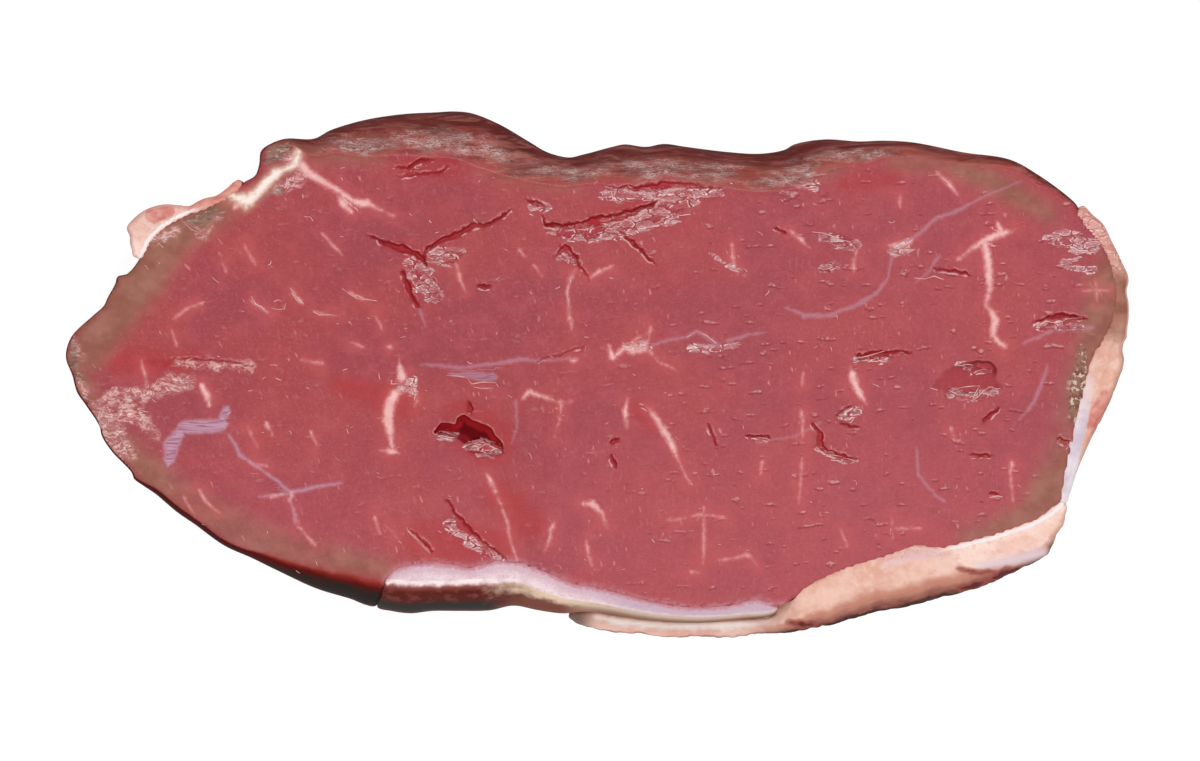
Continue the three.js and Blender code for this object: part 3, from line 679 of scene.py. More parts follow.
def speckle(where, size, detail=2, roughness=.5, twist=0):
    """Noise whose spots measure about size, three lengths in millimetres."""
    spots = stretched(where, [1 / (n * MM) for n in size])
    return put("TexNoise", {"Vector": spots, "Scale": 1, "Detail": detail, "Roughness": roughness,
                            "Distortion": twist})


def fade(value, start, end, low=0, high=1):
    """low before start and high after end, with a smooth step between."""
    limits = {"From Min": start, "From Max": end, "To Min": low, "To Max": high}
    return put("MapRange", {"Value": value, **limits}, interpolation_type="SMOOTHSTEP")


def calc(operation, a, b=0.0):
    """The outcome of an operation on two numbers, or on the first one alone."""
    return put("Math", {0: a, 1: b}, operation=operation)


def times(*values):
    """The product of all the numbers."""
    product = values[0]
    for value in values[1:]:
        product = calc("MULTIPLY", product, value)
    return product


def swing(noise_value, reach):
    """Noise from 0 to 1 made a number from minus half the reach to half the reach."""
    return times(calc("SUBTRACT", noise_value, .5), reach)


def tint(share, under, over):
    """The second colour over the first, by share."""
    return put("Mix", {0: share, 6: under, 7: over}, 2, data_type="RGBA")


def coats(tone, *rows):
    """The tone with one colour after another laid over it, each row a share and a colour."""
    for share, over in rows:
        tone = tint(share, tone, over)
    return tone


def bumps(*rows):
    """A normal from rows of a height of 0 to 1 and how many millimetres that stands for, one upon another."""
    normal = {}
    for height, tall in rows:
        relief = {"Height": height, "Distance": tall * MM, "Strength": 1}
        normal = {"Normal": put("Bump", relief | normal)}
    return normal["Normal"]


def new_material(name):
    """A material, its node tree and its shader."""
    material = bpy.data.materials.new(name)
    material.use_nodes = True
    return material, material.node_tree, material.node_tree.nodes["Principled BSDF"]


def dress(shader, **inputs):
    """Gives the shader's inputs their values, named with underscores for spaces."""
    for key, value in inputs.items():
        give(shader.inputs[key.replace("_", " ")], value)


def new_group(name, inputs, outputs):
    """A shader group with named inputs, each with its type, and number outputs, and its two end nodes."""
    group = bpy.data.node_groups.new(name, "ShaderNodeTree")
    for key, kind in inputs.items():
        group.interface.new_socket(key, in_out="INPUT", socket_type="NodeSocket" + kind)
    for key in outputs:
        group.interface.new_socket(key, in_out="OUTPUT", socket_type="NodeSocketFloat")
    return group, group.nodes.new("NodeGroupInput").outputs, group.nodes.new("NodeGroupOutput").inputs


def band(value, middle, reach):
    """1 where the value is at the middle and 0 where it is this far from it."""
    return fade(calc("ABSOLUTE", calc("SUBTRACT", value, middle)), reach, reach * .3)


# Wet film: thin skin torn into flakes, with painted highlights along their edges and creases, and dark gaps
# between them, partly red showing through and partly painted shade. "Loose" is one number for each flake.
tree, given, result = new_group("wet_film", {"Where": "Vector", "Size": "Float"},
                                ("Fill", "Ridge", "Gap", "Height", "Loose"))
in_flakes = calc("DIVIDE", 1 / MM, given["Size"])
drawn = put("VectorMath", {0: given["Where"], "Scale": in_flakes}, operation="SCALE")
drawn = stretched(drawn, (.55, 1.3, 1))
bend = put("TexNoise", {"Vector": drawn, "Scale": .9, "Detail": 2, "Roughness": .5}, "Color")
drawn = moved(drawn, stretched(bend, (1.3, 1.3, 0)))
flakes = {"Vector": drawn, "Scale": 1}
edge = put("TexVoronoi", flakes, feature="DISTANCE_TO_EDGE", voronoi_dimensions="2D")
flake = parts_of(put("TexVoronoi", flakes, "Color", voronoi_dimensions="2D"))
wrinkles = put("TexNoise", {"Vector": drawn, "Scale": 1.8, "Detail": 2, "Distortion": .4})
creases = put("TexNoise", {"Vector": stretched(drawn, (1, 2.6, 1)), "Scale": 1.5, "Detail": 2,
                           "Distortion": 1})
filled = times(fade(flake["Y"], .1, .4), fade(edge, .02, .1))
# painted highlights along the flake edges and creases
glint = times(band(edge, .12, .07), fade(wrinkles, .48, .56))
glint = calc("MAXIMUM", glint, times(band(creases, .5, .035), filled, .75))
thin = fade(wrinkles, .36, .56, .3, 1)
# dark gaps between flakes: partly red showing through, partly painted shade
gap = times(fade(edge, .07, .02), fade(wrinkles, .36, .46))
give(result["Fill"], times(filled, thin, fade(flake["Z"], 0, 1, .5, 1)))
give(result["Ridge"], glint)
give(result["Gap"], calc("MAXIMUM", gap, times(band(creases, .6, .03), filled, .6)))
give(result["Height"], times(fade(edge, .02, .3), fade(flake["Y"], .2, .8, .3, 1)))
give(result["Loose"], flake["X"])
film_tree = tree


def wet_film(where, size):
    """The pale fill, painted highlight on the ridges, partly painted shade in the gaps, height, and flake
    number.
    """
    outputs = put("Group", {"Where": where, "Size": size}, node_tree=film_tree).node.outputs
    return [outputs[name] for name in ("Fill", "Ridge", "Gap", "Height", "Loose")]


def wandering(size, reach, detail=2):
    """A number between about -reach and reach that wanders over the piece."""
    return swing(speckle(place(), (size, size, 4), detail, .6), 2 * reach)


def line_share(name, wobble, soft):
    """How much of a thin line shows, from the stored distance across it and half width, with a wandering
    edge; and the distance, the half width and how deep a point lies in the line."""
    parts = parts_of(stored(name, "Vector"))
    across, half = calc("ADD", parts["X"], wandering(2.2, wobble)), parts["Y"]
    depth = calc("SUBTRACT", half, calc("ABSOLUTE", across))
    depth = calc("ADD", depth, wandering(.9, .3))
    return fade(depth, -soft, soft), across, half, depth


def wisps(where, size, rare, shift=0.0):
    """Sparse soft marks of about this size: the higher rare is, the fewer. They may be shifted in y."""
    return fade(speckle(moved(where, (0, shift * MM, 0)), size, 1, .4), rare, rare + .07)


# Raw muscle: dull red to pink by the bundle, with fibres across it, small pale flecks, faint pale wisps along
# the grain, small stretches of fat, and painted dents: a dark mark of painted shade beside a pale painted
# highlight.
lean_look, tree, shader = new_material("raw_lean")
where, grain, skin = place(), stored("grain", "Vector"), stored("skin", "Vector")
side, shoulder, torn, sunk = (stored(name) for name in ("side", "shoulder", "torn", "sunk"))
place_x = parts_of(where)["X"]
to_left = fade(place_x, -.045, -.055)
to_right = fade(place_x, -.01, .04, .25, 1)
broad = speckle(where, (24, 20, 20), 3)
middling = speckle(where, (4.5, 4, 6), 3, .6)
small = speckle(where, (1.1, 1, 1.2), 3, .65)
grit = speckle(where, (.42, .38, .5), 2, .6)
fibres = speckle(grain, (.5, 5, 4), 2, .6)
cross_fibres = speckle(where, (8, .45, 4), 2, .6)
thick = fade(speckle(where, (12, 12, 12), 1), .4, .6, .2, 1)
tone = coats(
    tint(fade(broad, .38, .62), "9C3F48", "A74346"),
    (times(stored("pink"), .42), "BE5F68"),
    (fade(middling, .45, .72, 0, .4), "B9555A"),
    (fade(middling, .46, .26, 0, .35), "9C414C"),
    (fade(small, .52, .75, 0, .3), "BE666C"),
    (fade(small, .46, .26, 0, .25), "96383F"),
    (fade(grit, .52, .72, 0, .22), "C67478"),
    (fade(grit, .46, .28, 0, .18), "8E3440"),
    (fade(fibres, .52, .75, 0, .06), "C06E78"),
    (fade(cross_fibres, .52, .75, 0, .08), "BC6068"),
    (times(wisps(grain, (.7, 2.4, 4), .64), thick, .14), "CE8890"),
    (times(wisps(grain, (1.1, 2.6, 4), .7), thick, .6), "D98E90"),
    # painted dents: a dark mark of painted shade, with a pale painted highlight beside it
    (times(wisps(where, (3.4, 1.1, 3), .66, .34), to_right, .6), "8A2A30"),
    (times(wisps(where, (3.4, 1.1, 3), .68), to_right, fade(small, .44, .56, .1, 1), .5), "E4ACAC"),
    (times(stored("fresh"), fade(middling, .2, .6, .2, .5)), "AC2A2E"),
    (times(stored("aged"), fade(broad, .3, .6, .6, 1), .85),
     tint(fade(middling, .3, .7), "8B5947", "A0715F")),
)

# Fat and connective tissue, with frayed edges, painted highlights on the fat, and a salmon halo where fat
# lies under the surface.
fat_share, _, fat_half, fat_depth = line_share("marbling", .3, .45)
fat_tone = coats(
    tint(fade(fat_depth, 0, .8), "D27A7D", "EEB2AE"),
    # pale specks of painted highlight on the fat
    (times(fade(small, .42, .6, 0, .3), fade(fat_half, .2, .7, .4, 1)), "F5D4D0"),
)
fat_faint = calc("MAXIMUM", fade(speckle(where, (2.4, 2.4, 3), 2), .32, .58, .2, 1),
                 fade(fat_half, .3, .8, 0, .9))
seam_share, _, _, seam_depth = line_share("connective", .4, .45)
seam_rows = times(.7, band(speckle(where, (9, .6, 4), 1, .5), .5, .08), fade(seam_depth, .3, .7))
seam_tone = coats(
    tint(fade(seam_depth, .2, .7), "C08494", "A67A90"),
    (to_left, "C294AA"),
    (seam_rows, "94566E"),
)
cream_depth = calc("ADD", stored("cream"), wandering(1.6, .8, 3))
cream_tone = coats(
    tint(fade(cream_depth, -.4, .5), "E0B8A6", "FBEDE4"),
    (fade(small, .5, .3, 0, .5), "E6BCAE"),
)
tone = coats(
    tone,
    (times(stored("halo"), fade(middling, .3, .6, .08, .34)), "CB5A5A"),
    (times(fat_share, fat_faint, fade(fat_half, .1, .6, .75, 1)), fat_tone),
    (times(seam_share, fade(seam_depth, -.2, 1, .36, .95)), seam_tone),
    (fade(cream_depth, -1.9, -.3, 0, .5), "BE8E7C"),
    (fade(cream_depth, -.9, .1, 0, .94), cream_tone),
    (times(stored("seam"), fade(small, .3, .6), .6), "C9929C"),
)

# Torn places: wet pale film, finer and hazier on the left, with painted highlights on its ridges and partly
# painted shade in its gaps. In the holes and tears a darker red, partly fresher meat and partly painted
# shade, a brighter red on steep walls as painted light, and a painted highlight along the steep rim.
coarse_and_fine = zip(wet_film(where, 1.9), wet_film(where, 1.5))
fill, ridge, gap, film_height, loose = (
    put("Mix", {0: to_left, 2: coarse, 3: fine}) for coarse, fine in coarse_and_fine)
haze = fade(speckle(where, (2, 1.1, 4), 2, .6, .9), .42, .6)
soft_torn = times(fade(calc("ADD", torn, wandering(3, 1.6, 3)), -1, .6), fade(haze, 0, 1, .35, 1))
torn_share = put("Mix", {0: to_left, 2: fade(calc("ADD", torn, swing(loose, 1.2)), -.5, -.2), 3: soft_torn})
pit = parts_of(stored("pit", "Vector"))
pit_depth, pit_wall = pit["X"], pit["Y"]
steep = fade(pit_wall, .8, .4)
deep = fade(sunk, .9, 1.8)
# darker red in sunk places: partly fresher meat, partly painted shade, darkest in the middle of the deep hole
floor_tone = coats(
    tint(fade(middling, .35, .65), "A4363C", "923038"),
    (deep, "9C222A"),
    (times(fade(pit_depth, .7, 2), deep, .85), "54080E"),
)
on_floor = times(calc("MAXIMUM", fade(sunk, .4, 1, 0, .35), deep), calc("SUBTRACT", 1, times(torn_share, .8)))
shallow = fade(calc("ADD", sunk, times(steep, 1.4)), 1.3, .9)
shaded = times(shallow, fade(pit_wall, 1.3, .8), fade(pit_depth, -.05, .3),
               fade(calc("ADD", pit_depth, wandering(1.4, .6)), 2.4, .3), .75)
tone = coats(
    tone,
    (times(torn_share, .3), "A83A42"),
    (times(torn_share, fill, fade(to_left, 0, 1, .64, .35)), "D6A0A4"),
    (times(soft_torn, to_left, .4), "D88A82"),
    (times(torn_share, to_left, haze, .55), "E8BAB0"),
    # painted shade in the gaps between flakes, and painted highlights on their ridges
    (times(torn_share, gap, fade(small, .4, .6), .6), "7E2831"),
    (times(torn_share, ridge, .85), "F3DAD8"),
    (on_floor, floor_tone),
    # a brighter red on the steep walls of the holes: painted light against their shade
    (times(fade(pit_depth, .05, .2), fade(pit_depth, 1.8, .3), steep, .8), "A01A20"),
    # painted shade under the steep upper walls
    (shaded, "7C242C"),
    # a painted highlight along the steep rim
    (times(band(pit_depth, -.1, .22), steep, .7), "D88480"),
)

# Tears: a red band, partly fresher meat and partly painted shade, a dark red line of painted shade under the
# upper lip, and pale lines of painted highlight on both lips.
_, tear_across, tear_half, tear_depth = line_share("tears", .1, .12)
below_lip = calc("SUBTRACT", tear_half, tear_across)
above_foot = calc("ADD", calc("ADD", tear_across, tear_half), .3)
foot_on = fade(speckle(where, (2.4, 2.4, 4), 2), .5, .6)
tone = coats(
    tone,
    # a red band round the tear: partly fresher meat, partly painted shade
    (fade(tear_depth, -.35, .25, 0, .6), "AE3238"),
    # painted shade: a dark red line under the upper lip
    (times(band(below_lip, .22, .3), fade(tear_half, .05, .3), .75), "84181D"),
    # painted highlights along both lips
    (times(band(below_lip, -.28, .22), fade(tear_half, 0, .2), fade(small, .4, .6), .45), "DC9292"),
    (times(band(above_foot, 0, .25), foot_on, fade(tear_half, 0, .1), .7), "E0AEAC"),
)

# The skins of the side: on the far side brown with silvery strands that run round the rim, the strands partly
# painted glints, and darker towards the foot of the shoulder as painted shade; on the near side dark red,
# darker and then black down the shoulder as painted shade. Bare meat shows below both.
strands = speckle(skin, (5, .8, 4), 3, .6, .6)
fine_strands = speckle(skin, (2.6, .5, 4), 3, .65, .8)
patches = speckle(skin, (9, 3, 4), 3)
long_streaks = speckle(where, (11, 1.5, 7), 3, .55, 1.2)
hair = speckle(where, (5.5, .5, 6), 3, .6, .9)
net = speckle(where, (1.9, .8, 4), 2, .5, 1.5)
ragged_side = calc("ADD", side, swing(patches, .5))
low_side = calc("ADD", side, swing(fine_strands, .16))
black_side = calc("ADD", calc("SUBTRACT", ragged_side, fade(shoulder, 4.5, 2, 0, .35)), swing(strands, .7))
silver = calc("MAXIMUM", band(hair, .5, .03), times(band(hair, .6, .025), .8))
silver = calc("MAXIMUM", silver, times(band(net, .52, .04), .8))
clusters = times(fade(speckle(where, (9, 3.4, 6), 3), .38, .6, .12, 1),
                 fade(ragged_side, .04, .3), fade(ragged_side, .84, .46, .12, 1),
                 fade(speckle(where, (3, 1.3, 4), 2), .36, .58, .25, 1), fade(shoulder, 2.6, 5))
side_meat = coats(
    tint(fade(fine_strands, .38, .62), "6A2422", "863A38"),
    (fade(patches, .55, .7, 0, .5), "A35650"),
)
film_tone = coats(
    tint(fade(patches, .38, .6), "9A473F", "8C5049"),
    (fade(fine_strands, .52, .36, 0, .45), "763630"),
    (fade(ragged_side, .4, .1, 0, .7), "AE564E"),
    (fade(long_streaks, .46, .34, 0, .6), "642824"),
    (fade(long_streaks, .54, .66, 0, .5), "BC7266"),
    # silvery strands: silverskin, partly painted glints
    (times(clusters, fade(small, .35, .6, .1, .4)), "AE8E8A"),
    (times(silver, clusters, .8), "DAC4C0"),
    (times(band(net, .42, .04), clusters, .5), "6E302E"),
    # darker towards the foot of the shoulder and almost black at the outline: painted shade
    (times(fade(ragged_side, .48, .86), fade(long_streaks, .66, .42, .45, .92)), "5E1E1C"),
    (fade(ragged_side, .9, 1.05, 0, .65), "2E0E0E"),
    (fade(side, 1.05, 1.2), side_meat),
)
# the near side: dark red, darker and then black down the shoulder as painted shade
dark_red_and_shade_tone = coats(
    tint(fade(ragged_side, .1, .45), "96302A", "561514"),
    (fade(black_side, .32, .7), "2C2622"),
    (fade(low_side, .93, 1.02), side_meat),
)
start = calc("ADD", fade(shoulder, 1, 3, .4, .02), wandering(1.6, .06))
shown = fade(times(calc("SUBTRACT", ragged_side, start), 4), 0, 1)

# Brown spots: grainy with pale flecks, and on the left softly streaked.
flecks = fade(speckle(where, (1, 1.2, 4), 2, .6, .4), .54, .6)
pale_streaks = fade(speckle(where, (1.4, .5, .5), 2, .6, .6), .56, .66, 0, .6)
soft_streaks = fade(speckle(where, (2.6, 1, 3), 3, .55, .8), .35, .65)
brown_tone = coats(
    tint(fade(small, .35, .6), "6E4436", "96705F"),
    (times(flecks, calc("SUBTRACT", 1, to_left)), "DEC6B4"),
    (to_left, coats(tint(soft_streaks, "6E4B3E", "927464"), (pale_streaks, "D2BEB0"))),
)
brown_share = fade(calc("ADD", stored("brown"), wandering(1.2, .7)), -.9, .5, 0, .85)
tone = coats(tone, (shown, tint(stored("low"), film_tone, dark_red_and_shade_tone)), (brown_share, brown_tone))

wet = times(torn_share, fade(side, .25, 0))
normal = bumps((fibres, .03), (cross_fibres, .02), (times(film_height, torn_share), .2),
               (times(strands, shown), .25), (small, .08))
rough = calc("SUBTRACT", fade(middling, .3, .7, .42, .52), times(wet, .2))
gloss = calc("ADD", times(wet, .3, fade(sunk, .2, .7, 1, .2)),
             times(fade(side, .3, 0, .04, .22), fade(sunk, .1, .4, 1, 0)))
dress(shader, Base_Color=tone, Roughness=rough, Normal=normal, Coat_Weight=gloss, Coat_Roughness=.12,
      IOR=1.4, Specular_IOR_Level=0, Subsurface_Weight=.05, Subsurface_Scale=.002,
      Subsurface_Radius=(1, .25, .15))


def new_piece(name, mesh, look):
    """An object at the origin with this mesh and material."""
    piece = bpy.data.objects.new(name, mesh)
    bpy.context.collection.objects.link(piece)
    mesh.materials.append(look)
    return piece


lean = new_piece("lean_muscle", lean_mesh, lean_look)
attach(lean, "root")
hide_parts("lean")

# ---------------------------------------------------------------------------------------------------------
# Torn threads: wisps of the thin skin between the bundles, pulled out by the knife. They lie wet on the torn
# places and in small dents and catch the light, and their pale colour partly stands in for the glints there:
# a painted highlight.

THREADS = [     # the ones that stand out: points [x, y]
    [(-32.8, -12), (-31.8, -11.3), (-30.6, -11.6), (-29.2, -12.1), (-28.2, -12.6)],
    [(-26.8, -14), (-25.6, -14), (-24.6, -13.2), (-23.2, -13), (-21.6, -13.4), (-19.6, -14)],
    [(-25.6, -14.9), (-24.6, -14.2), (-24, -14.8), (-22.8, -14), (-21.8, -13.6), (-20.6, -15),
     (-22.6, -15.2)],
    [(-25.8, -15.1), (-24.4, -14.9), (-23.6, -15.4), (-22, -15.9), (-19.4, -15.4)],
    [(71.3, -3.6), (72, -2.9), (74, -2.4), (76, -2.2), (77.2, -2.2), (76.6, -3.2), (76, -4.2),
     (75.7, -5.4)],
    [(75.7, -5.2), (76.8, -4.4), (78, -3.2), (79.2, -2.4), (79.9, -2.4), (79.4, -3.6), (78.6, -4.6)],
    [(79.6, -2.4), (80.6, -2.8), (81.4, -2.7)], [(72, 2.1), (73.4, 1.9), (74.6, 2.2), (75.9, 2)],
    [(75.2, -.2), (76.4, .7), (78, 1.2), (79.6, .9)], [(67.2, -2.6), (68.6, -3)],
    [(-30.6, -.1), (-28.4, -.2), (-26.3, -.5), (-25.8, -1.3), (-25.4, -1.8), (-23.2, -1.4), (-20.6, -1.5),
     (-20, -2.4)],
    [(-25, -2.4), (-23.4, -2.7), (-21, -2.6)],
    [(-39.8, -1.4), (-38.6, -.9), (-37.4, -1.4), (-37, -2.6), (-37.8, -3)],
    [(-38.8, -2.4), (-38, -2), (-37.4, -2.2)], [(-37.4, -3.4), (-36.8, -4.2), (-37, -5.2)],
    [(-50, 16.8), (-48.6, 15.4), (-46.8, 15.3), (-44.6, 15)], [(-62, 17.6), (-61, 16), (-59.4, 14.4)],
    [(52.4, 3.4), (54.4, 3.8), (56.4, 4.4), (59, 5.2)], [(64, 19.6), (66, 19.4), (68, 20), (70, 19.2)],
    [(88.6, 9.6), (90.6, 10.8), (93, 10.6), (95, 11.4), (98, 11.6)],
    [(43.4, 28.9), (46, 28.6), (48.4, 27.6), (51.2, 26.8)], [(18, 7.6), (20, 8.9), (22, 8), (24, 6.4)],
    [(31, -12.9), (33, -12.6), (34.8, -13)], [(44.2, -14.6), (46, -16), (48.6, -16.3), (51.6, -17.2)],
    [(-77.8, 19.7), (-77.2, 19.2), (-76.4, 18.6)],
    [(-69.9, 15.9), (-69.4, 15), (-69, 14.3), (-67.8, 13.8), (-67, 12.8)],
    [(-65.9, 13.6), (-64.6, 13.2), (-63.2, 13.4), (-63, 14.5)],
    [(-65.4, 14.8), (-64.4, 15.2), (-63.6, 14.8)], [(-61.9, 16.6), (-61.2, 16), (-61, 15.4), (-60, 14.5)],
    [(-57.4, 12.8), (-56.1, 12.1), (-54, 12.2), (-52.7, 11.9)],
    [(-51.6, 17.5), (-49.4, 15.9), (-48.6, 16.2), (-47.1, 15.4)], [(-59.2, 32), (-58, 31.9), (-57.4, 31.1)],
    [(-84.2, 31.4), (-83.2, 30.4), (-82, 29.4), (-80.6, 28.8), (-79.4, 28.2)],
    [(75.4, -16.9), (77.6, -16.8), (79.4, -16.9)], [(79.2, -24.8), (80.6, -24.4), (81.8, -24.6)],
]
THREAD_RADIUS = .12         # of the ones that stand out
THREAD_STEP = .25           # from one point of a thread to the next
THREADS_PER_AREA = .12      # on the torn places
SMALL_THREADS = 130         # spread over the whole face
PROUD = .3                  # how far a thread's middle lies above the surface, as a share of its radius
surface = BVHTree.FromPolygons([v.co for v in lean_mesh.vertices], [p.vertices for p in lean_mesh.polygons])
dice = random.Random(5)


def wisp(x, y, heading, length, bend):
    """A wandering line of points, one step apart."""
    points = [(x, y)]
    for _ in range(max(2, round(length / THREAD_STEP))):
        heading += dice.uniform(-bend, bend)
        x, y = x + THREAD_STEP * math.cos(heading), y + THREAD_STEP * math.sin(heading)
        points.append((x, y))
    return points


lines = [(points, THREAD_RADIUS) for points in THREADS]
for stroke in TORN:
    for a, b in zip(stroke, stroke[1:]):
        line = Vector(b[:2]) - Vector(a[:2])
        across = line.orthogonal().normalized()
        for _ in range(round(line.length * (a[2] + b[2]) * THREADS_PER_AREA)):
            t, off = dice.random(), dice.uniform(-1, 1)
            spot = Vector(a[:2]) + line * t + across * off * (a[2] + t * (b[2] - a[2]))
            heading = math.atan2(line.y, line.x) + dice.uniform(-.9, .9)
            lines.append((wisp(spot.x, spot.y, heading, dice.uniform(1, 2.6), .4), dice.uniform(.07, .12)))
for _ in range(SMALL_THREADS):
    x, y = dice.triangular(-95, 98, -55), dice.uniform(-40, 42)
    lines.append((wisp(x, y, dice.uniform(-1.1, .5), dice.uniform(.3, 1.6), .5), dice.uniform(.05, .1)))

curve = bpy.data.curves.new("torn_threads", "CURVE")
curve.dimensions = "3D"
curve.bevel_depth = MM
curve.bevel_resolution = 0
curve.use_fill_caps = True
for points, radius in lines:
    found = [surface.ray_cast(Vector((x * MM, y * MM, 30 * MM)), Vector((0, 0, -1)))[0] for x, y in points]
    if None in found or min(f.z for f in found) < FACE_HEIGHT * MM * .75:
        continue
    spline = curve.splines.new("POLY")
    spline.points.add(len(found) - 1)
    for i, (point, spot) in enumerate(zip(spline.points, found)):
        taper = math.sin(math.pi * (i + .5) / len(found)) ** .5
        point.co = (*(spot + Vector((0, 0, radius * PROUD * MM))), 1)
        point.radius = radius * taper
holder = bpy.data.objects.new("torn_threads", curve)
bpy.context.collection.objects.link(holder)
thread_mesh = bpy.data.meshes.new_from_object(holder.evaluated_get(bpy.context.evaluated_depsgraph_get()))
bpy.data.objects.remove(holder)
thread_mesh.shade_smooth()

thread_look, tree, shader = new_material("wet_thread")
where = place()
# pale pink, partly a painted highlight
tone = tint(fade(speckle(where, (2, 2, 2), 2), .35, .65), "D4898A", "F0C6C2")
dress(shader, Base_Color=tone, Roughness=.3, Coat_Weight=.3, Coat_Roughness=.1, Specular_IOR_Level=.2)
threads = new_piece("torn_threads", thread_mesh, thread_look)
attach(threads, "root")

# ---------------------------------------------------------------------------------------------------------
# The gristle band: a sheet of tough white sinew along the lower side of the muscle. It is cut through at the
# face, and its outer surface goes down the side, blood-red on the left and cream where fat covers it, both
# darker down the side as painted shade, black-green low on the left; a painted highlight runs along the
# crest.


def gristle_height(xy):
    """The cut gristle stands a little proud of the lean."""
    return face_height(xy) + .08


def gristle_relief(xy):
    """Fine grain on the cut, and soft folds along the side."""
    return .1 * ripples(xy, .9, 15) + .25 * ripples(xy * (.35, 1), 1.6, 16) * ease(-xy[:, 1], 38, 44)


gristle_rim = Rim(GRISTLE_SIDE + GRISTLE_SEAM, lap=.25, fray=.22)
gristle_mesh = slab("gristle", gristle_rim, cell=.45, under_cell=1)
gristle_xy, _, _ = raise_slab(gristle_mesh, gristle_rim, gristle_height, gristle_relief, slice_rim)
store(gristle_mesh, plan_x=gristle_xy[:, 0], from_seam=-lean_rim.nearest(gristle_xy)[1])

gristle_look, tree, shader = new_material("sinew")
where, skin, side, plan_x = place(), stored("skin", "Vector"), stored("side"), stored("plan_x")
streaks = speckle(skin, (3, .5, 3), 3, .6)
cloud = speckle(where, (2.4, 1.6, 3), 3, .6)
grains = speckle(where, (.5, .4, .5), 2, .6)
from_seam = calc("ADD", stored("from_seam"), wandering(.8, .8, 3))
low_side = calc("ADD", side, swing(streaks, .16))
stained = times(fade(plan_x, -1, -8), fade(calc("ADD", side, wandering(3, .3)), .35, .6))
# blood-red on the left, darker down the side and black-green low down: painted shade
bloody_and_shaded = coats(
    tint(fade(side, .1, .4), "A25A4E", "5E2420"),
    (fade(cloud, .45, .65, 0, .5), "8C4A42"),
    (fade(side, .55, .8), tint(fade(calc("ADD", plan_x, wandering(2, 2)), -19, -21.5), "5C2A22", "302C28")),
    (fade(low_side, .93, 1.02), tint(fade(streaks, .4, .6), "5A2321", "84403A")),
)
# cream where fat covers it, darker down the side towards the groove: painted shade
creamy = coats(
    tint(fade(side, .25, .95), "E6CAB0", "AE8270"),
    (fade(plan_x, -8, 6, 0, .7), tint(fade(side, .3, .9), "C9AC9A", "7E5848")),
    (fade(streaks, .46, .3, 0, .25), "AE7C68"),
    (times(stained, .9), "74362C"),
    (fade(side, 1, 1.2), "CFA08E"),
)
outer = tint(fade(calc("ADD", plan_x, swing(cloud, 16)), -24, -12), bloody_and_shaded, creamy)
crest = calc("ADD", side, wandering(2.4, .12, 3))
# a pale painted highlight along the crest, strongest on the left
lit = times(fade(side, .002, .03), fade(crest, .2, .12), fade(plan_x, -12, -24, .3, 1),
            fade(cloud, .35, .55, .3, 1))
tone = coats(
    tint(fade(cloud, .35, .65), "E2C3CA", "EED6DA"),
    (fade(grains, .5, .3, 0, .5), "C69DAE"),
    (fade(from_seam, 2.6, .8, 0, .6), "CBA0B2"),
    (times(fade(plan_x, -6, 8, 0, .55), fade(cloud, .3, .6, .5, 1)), "B9A0B2"),
    (fade(from_seam, .7, .1, 0, .8), "C8808A"),
    (lit, "FBE8E4"),
    (fade(crest, .09, .24), outer),
)
dress(shader, Base_Color=tone, Roughness=fade(cloud, .3, .7, .28, .42), Coat_Roughness=.15, IOR=1.4,
      Normal=bumps((streaks, .1), (grains, .05)), Coat_Weight=fade(side, .35, .1, .08, .3),
      Specular_IOR_Level=0)

gristle = new_piece("gristle", gristle_mesh, gristle_look)
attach(gristle, "root")
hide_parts("gristle_band")

# ---------------------------------------------------------------------------------------------------------
# The fat cap: the thick white fat of the back. On the left it was trimmed down to a low ledge, and from there
# it climbs to the cut face. It is firm and smooth, pink where blood has stained it.

LEDGE_HEIGHT, CLIMB_START, CLIMB_END = 9.5, 29, 42
CAP_RIM = [
    (-5.9, -49, .8), (-4.5, -50.3, 1.2), (0.5, -51.9, 1.8), (5, -52.5, 2), (11, -52.9, 2), (13.5, -53.4, 2),
    (21, -53.2, 2), (26.5, -53.5, 2.2), (34, -52.5, 2.4), (40, -52.2, 3.2), (43, -51.4, 3.6), (46, -51, 4),
    (52, -49.5, 5), (57, -48, 5.4), (62, -47.2, 5.6), (66, -46.3, 5.6), (71.5, -44.8, 5.4),
    (75.5, -43.8, 5.2), (82, -41.3, 4.6), (86.5, -39, 3.8), (91.2, -36.3, 2.6), (92.8, -32.5, 1.4),
    (94.3, -30, 1), (94.4, -27.2, .6), (93.9, -26.1, .5), (89, -29.3, .5), (82, -31.9, .5), (74, -34.1, .5),
    (68.4, -35.2, .5), (64.5, -34.8, .5), (58, -36.9, .5), (50, -39.4, .5), (43, -42.8, .5),
    (39.5, -45.1, .5), (36.6, -46.8, .5), (36.4, -48.6, .6), (28, -49.5, .8), (15, -49.8, .8),
    (4, -48.7, .8), (-1, -47.9, .8), (-5.4, -48.2, .7),
]


def cap_height(xy):
    """The cap climbs from the ledge to a little above the cut face."""
    climb = ease(xy[:, 0], CLIMB_START, CLIMB_END)
    return LEDGE_HEIGHT + (face_height(xy) + .1 - LEDGE_HEIGHT) * climb


def cap_relief(xy):
    """Soft lumps of fat."""
    return .3 * ripples(xy, 5, 11) + .12 * ripples(xy, 1.8, 12)


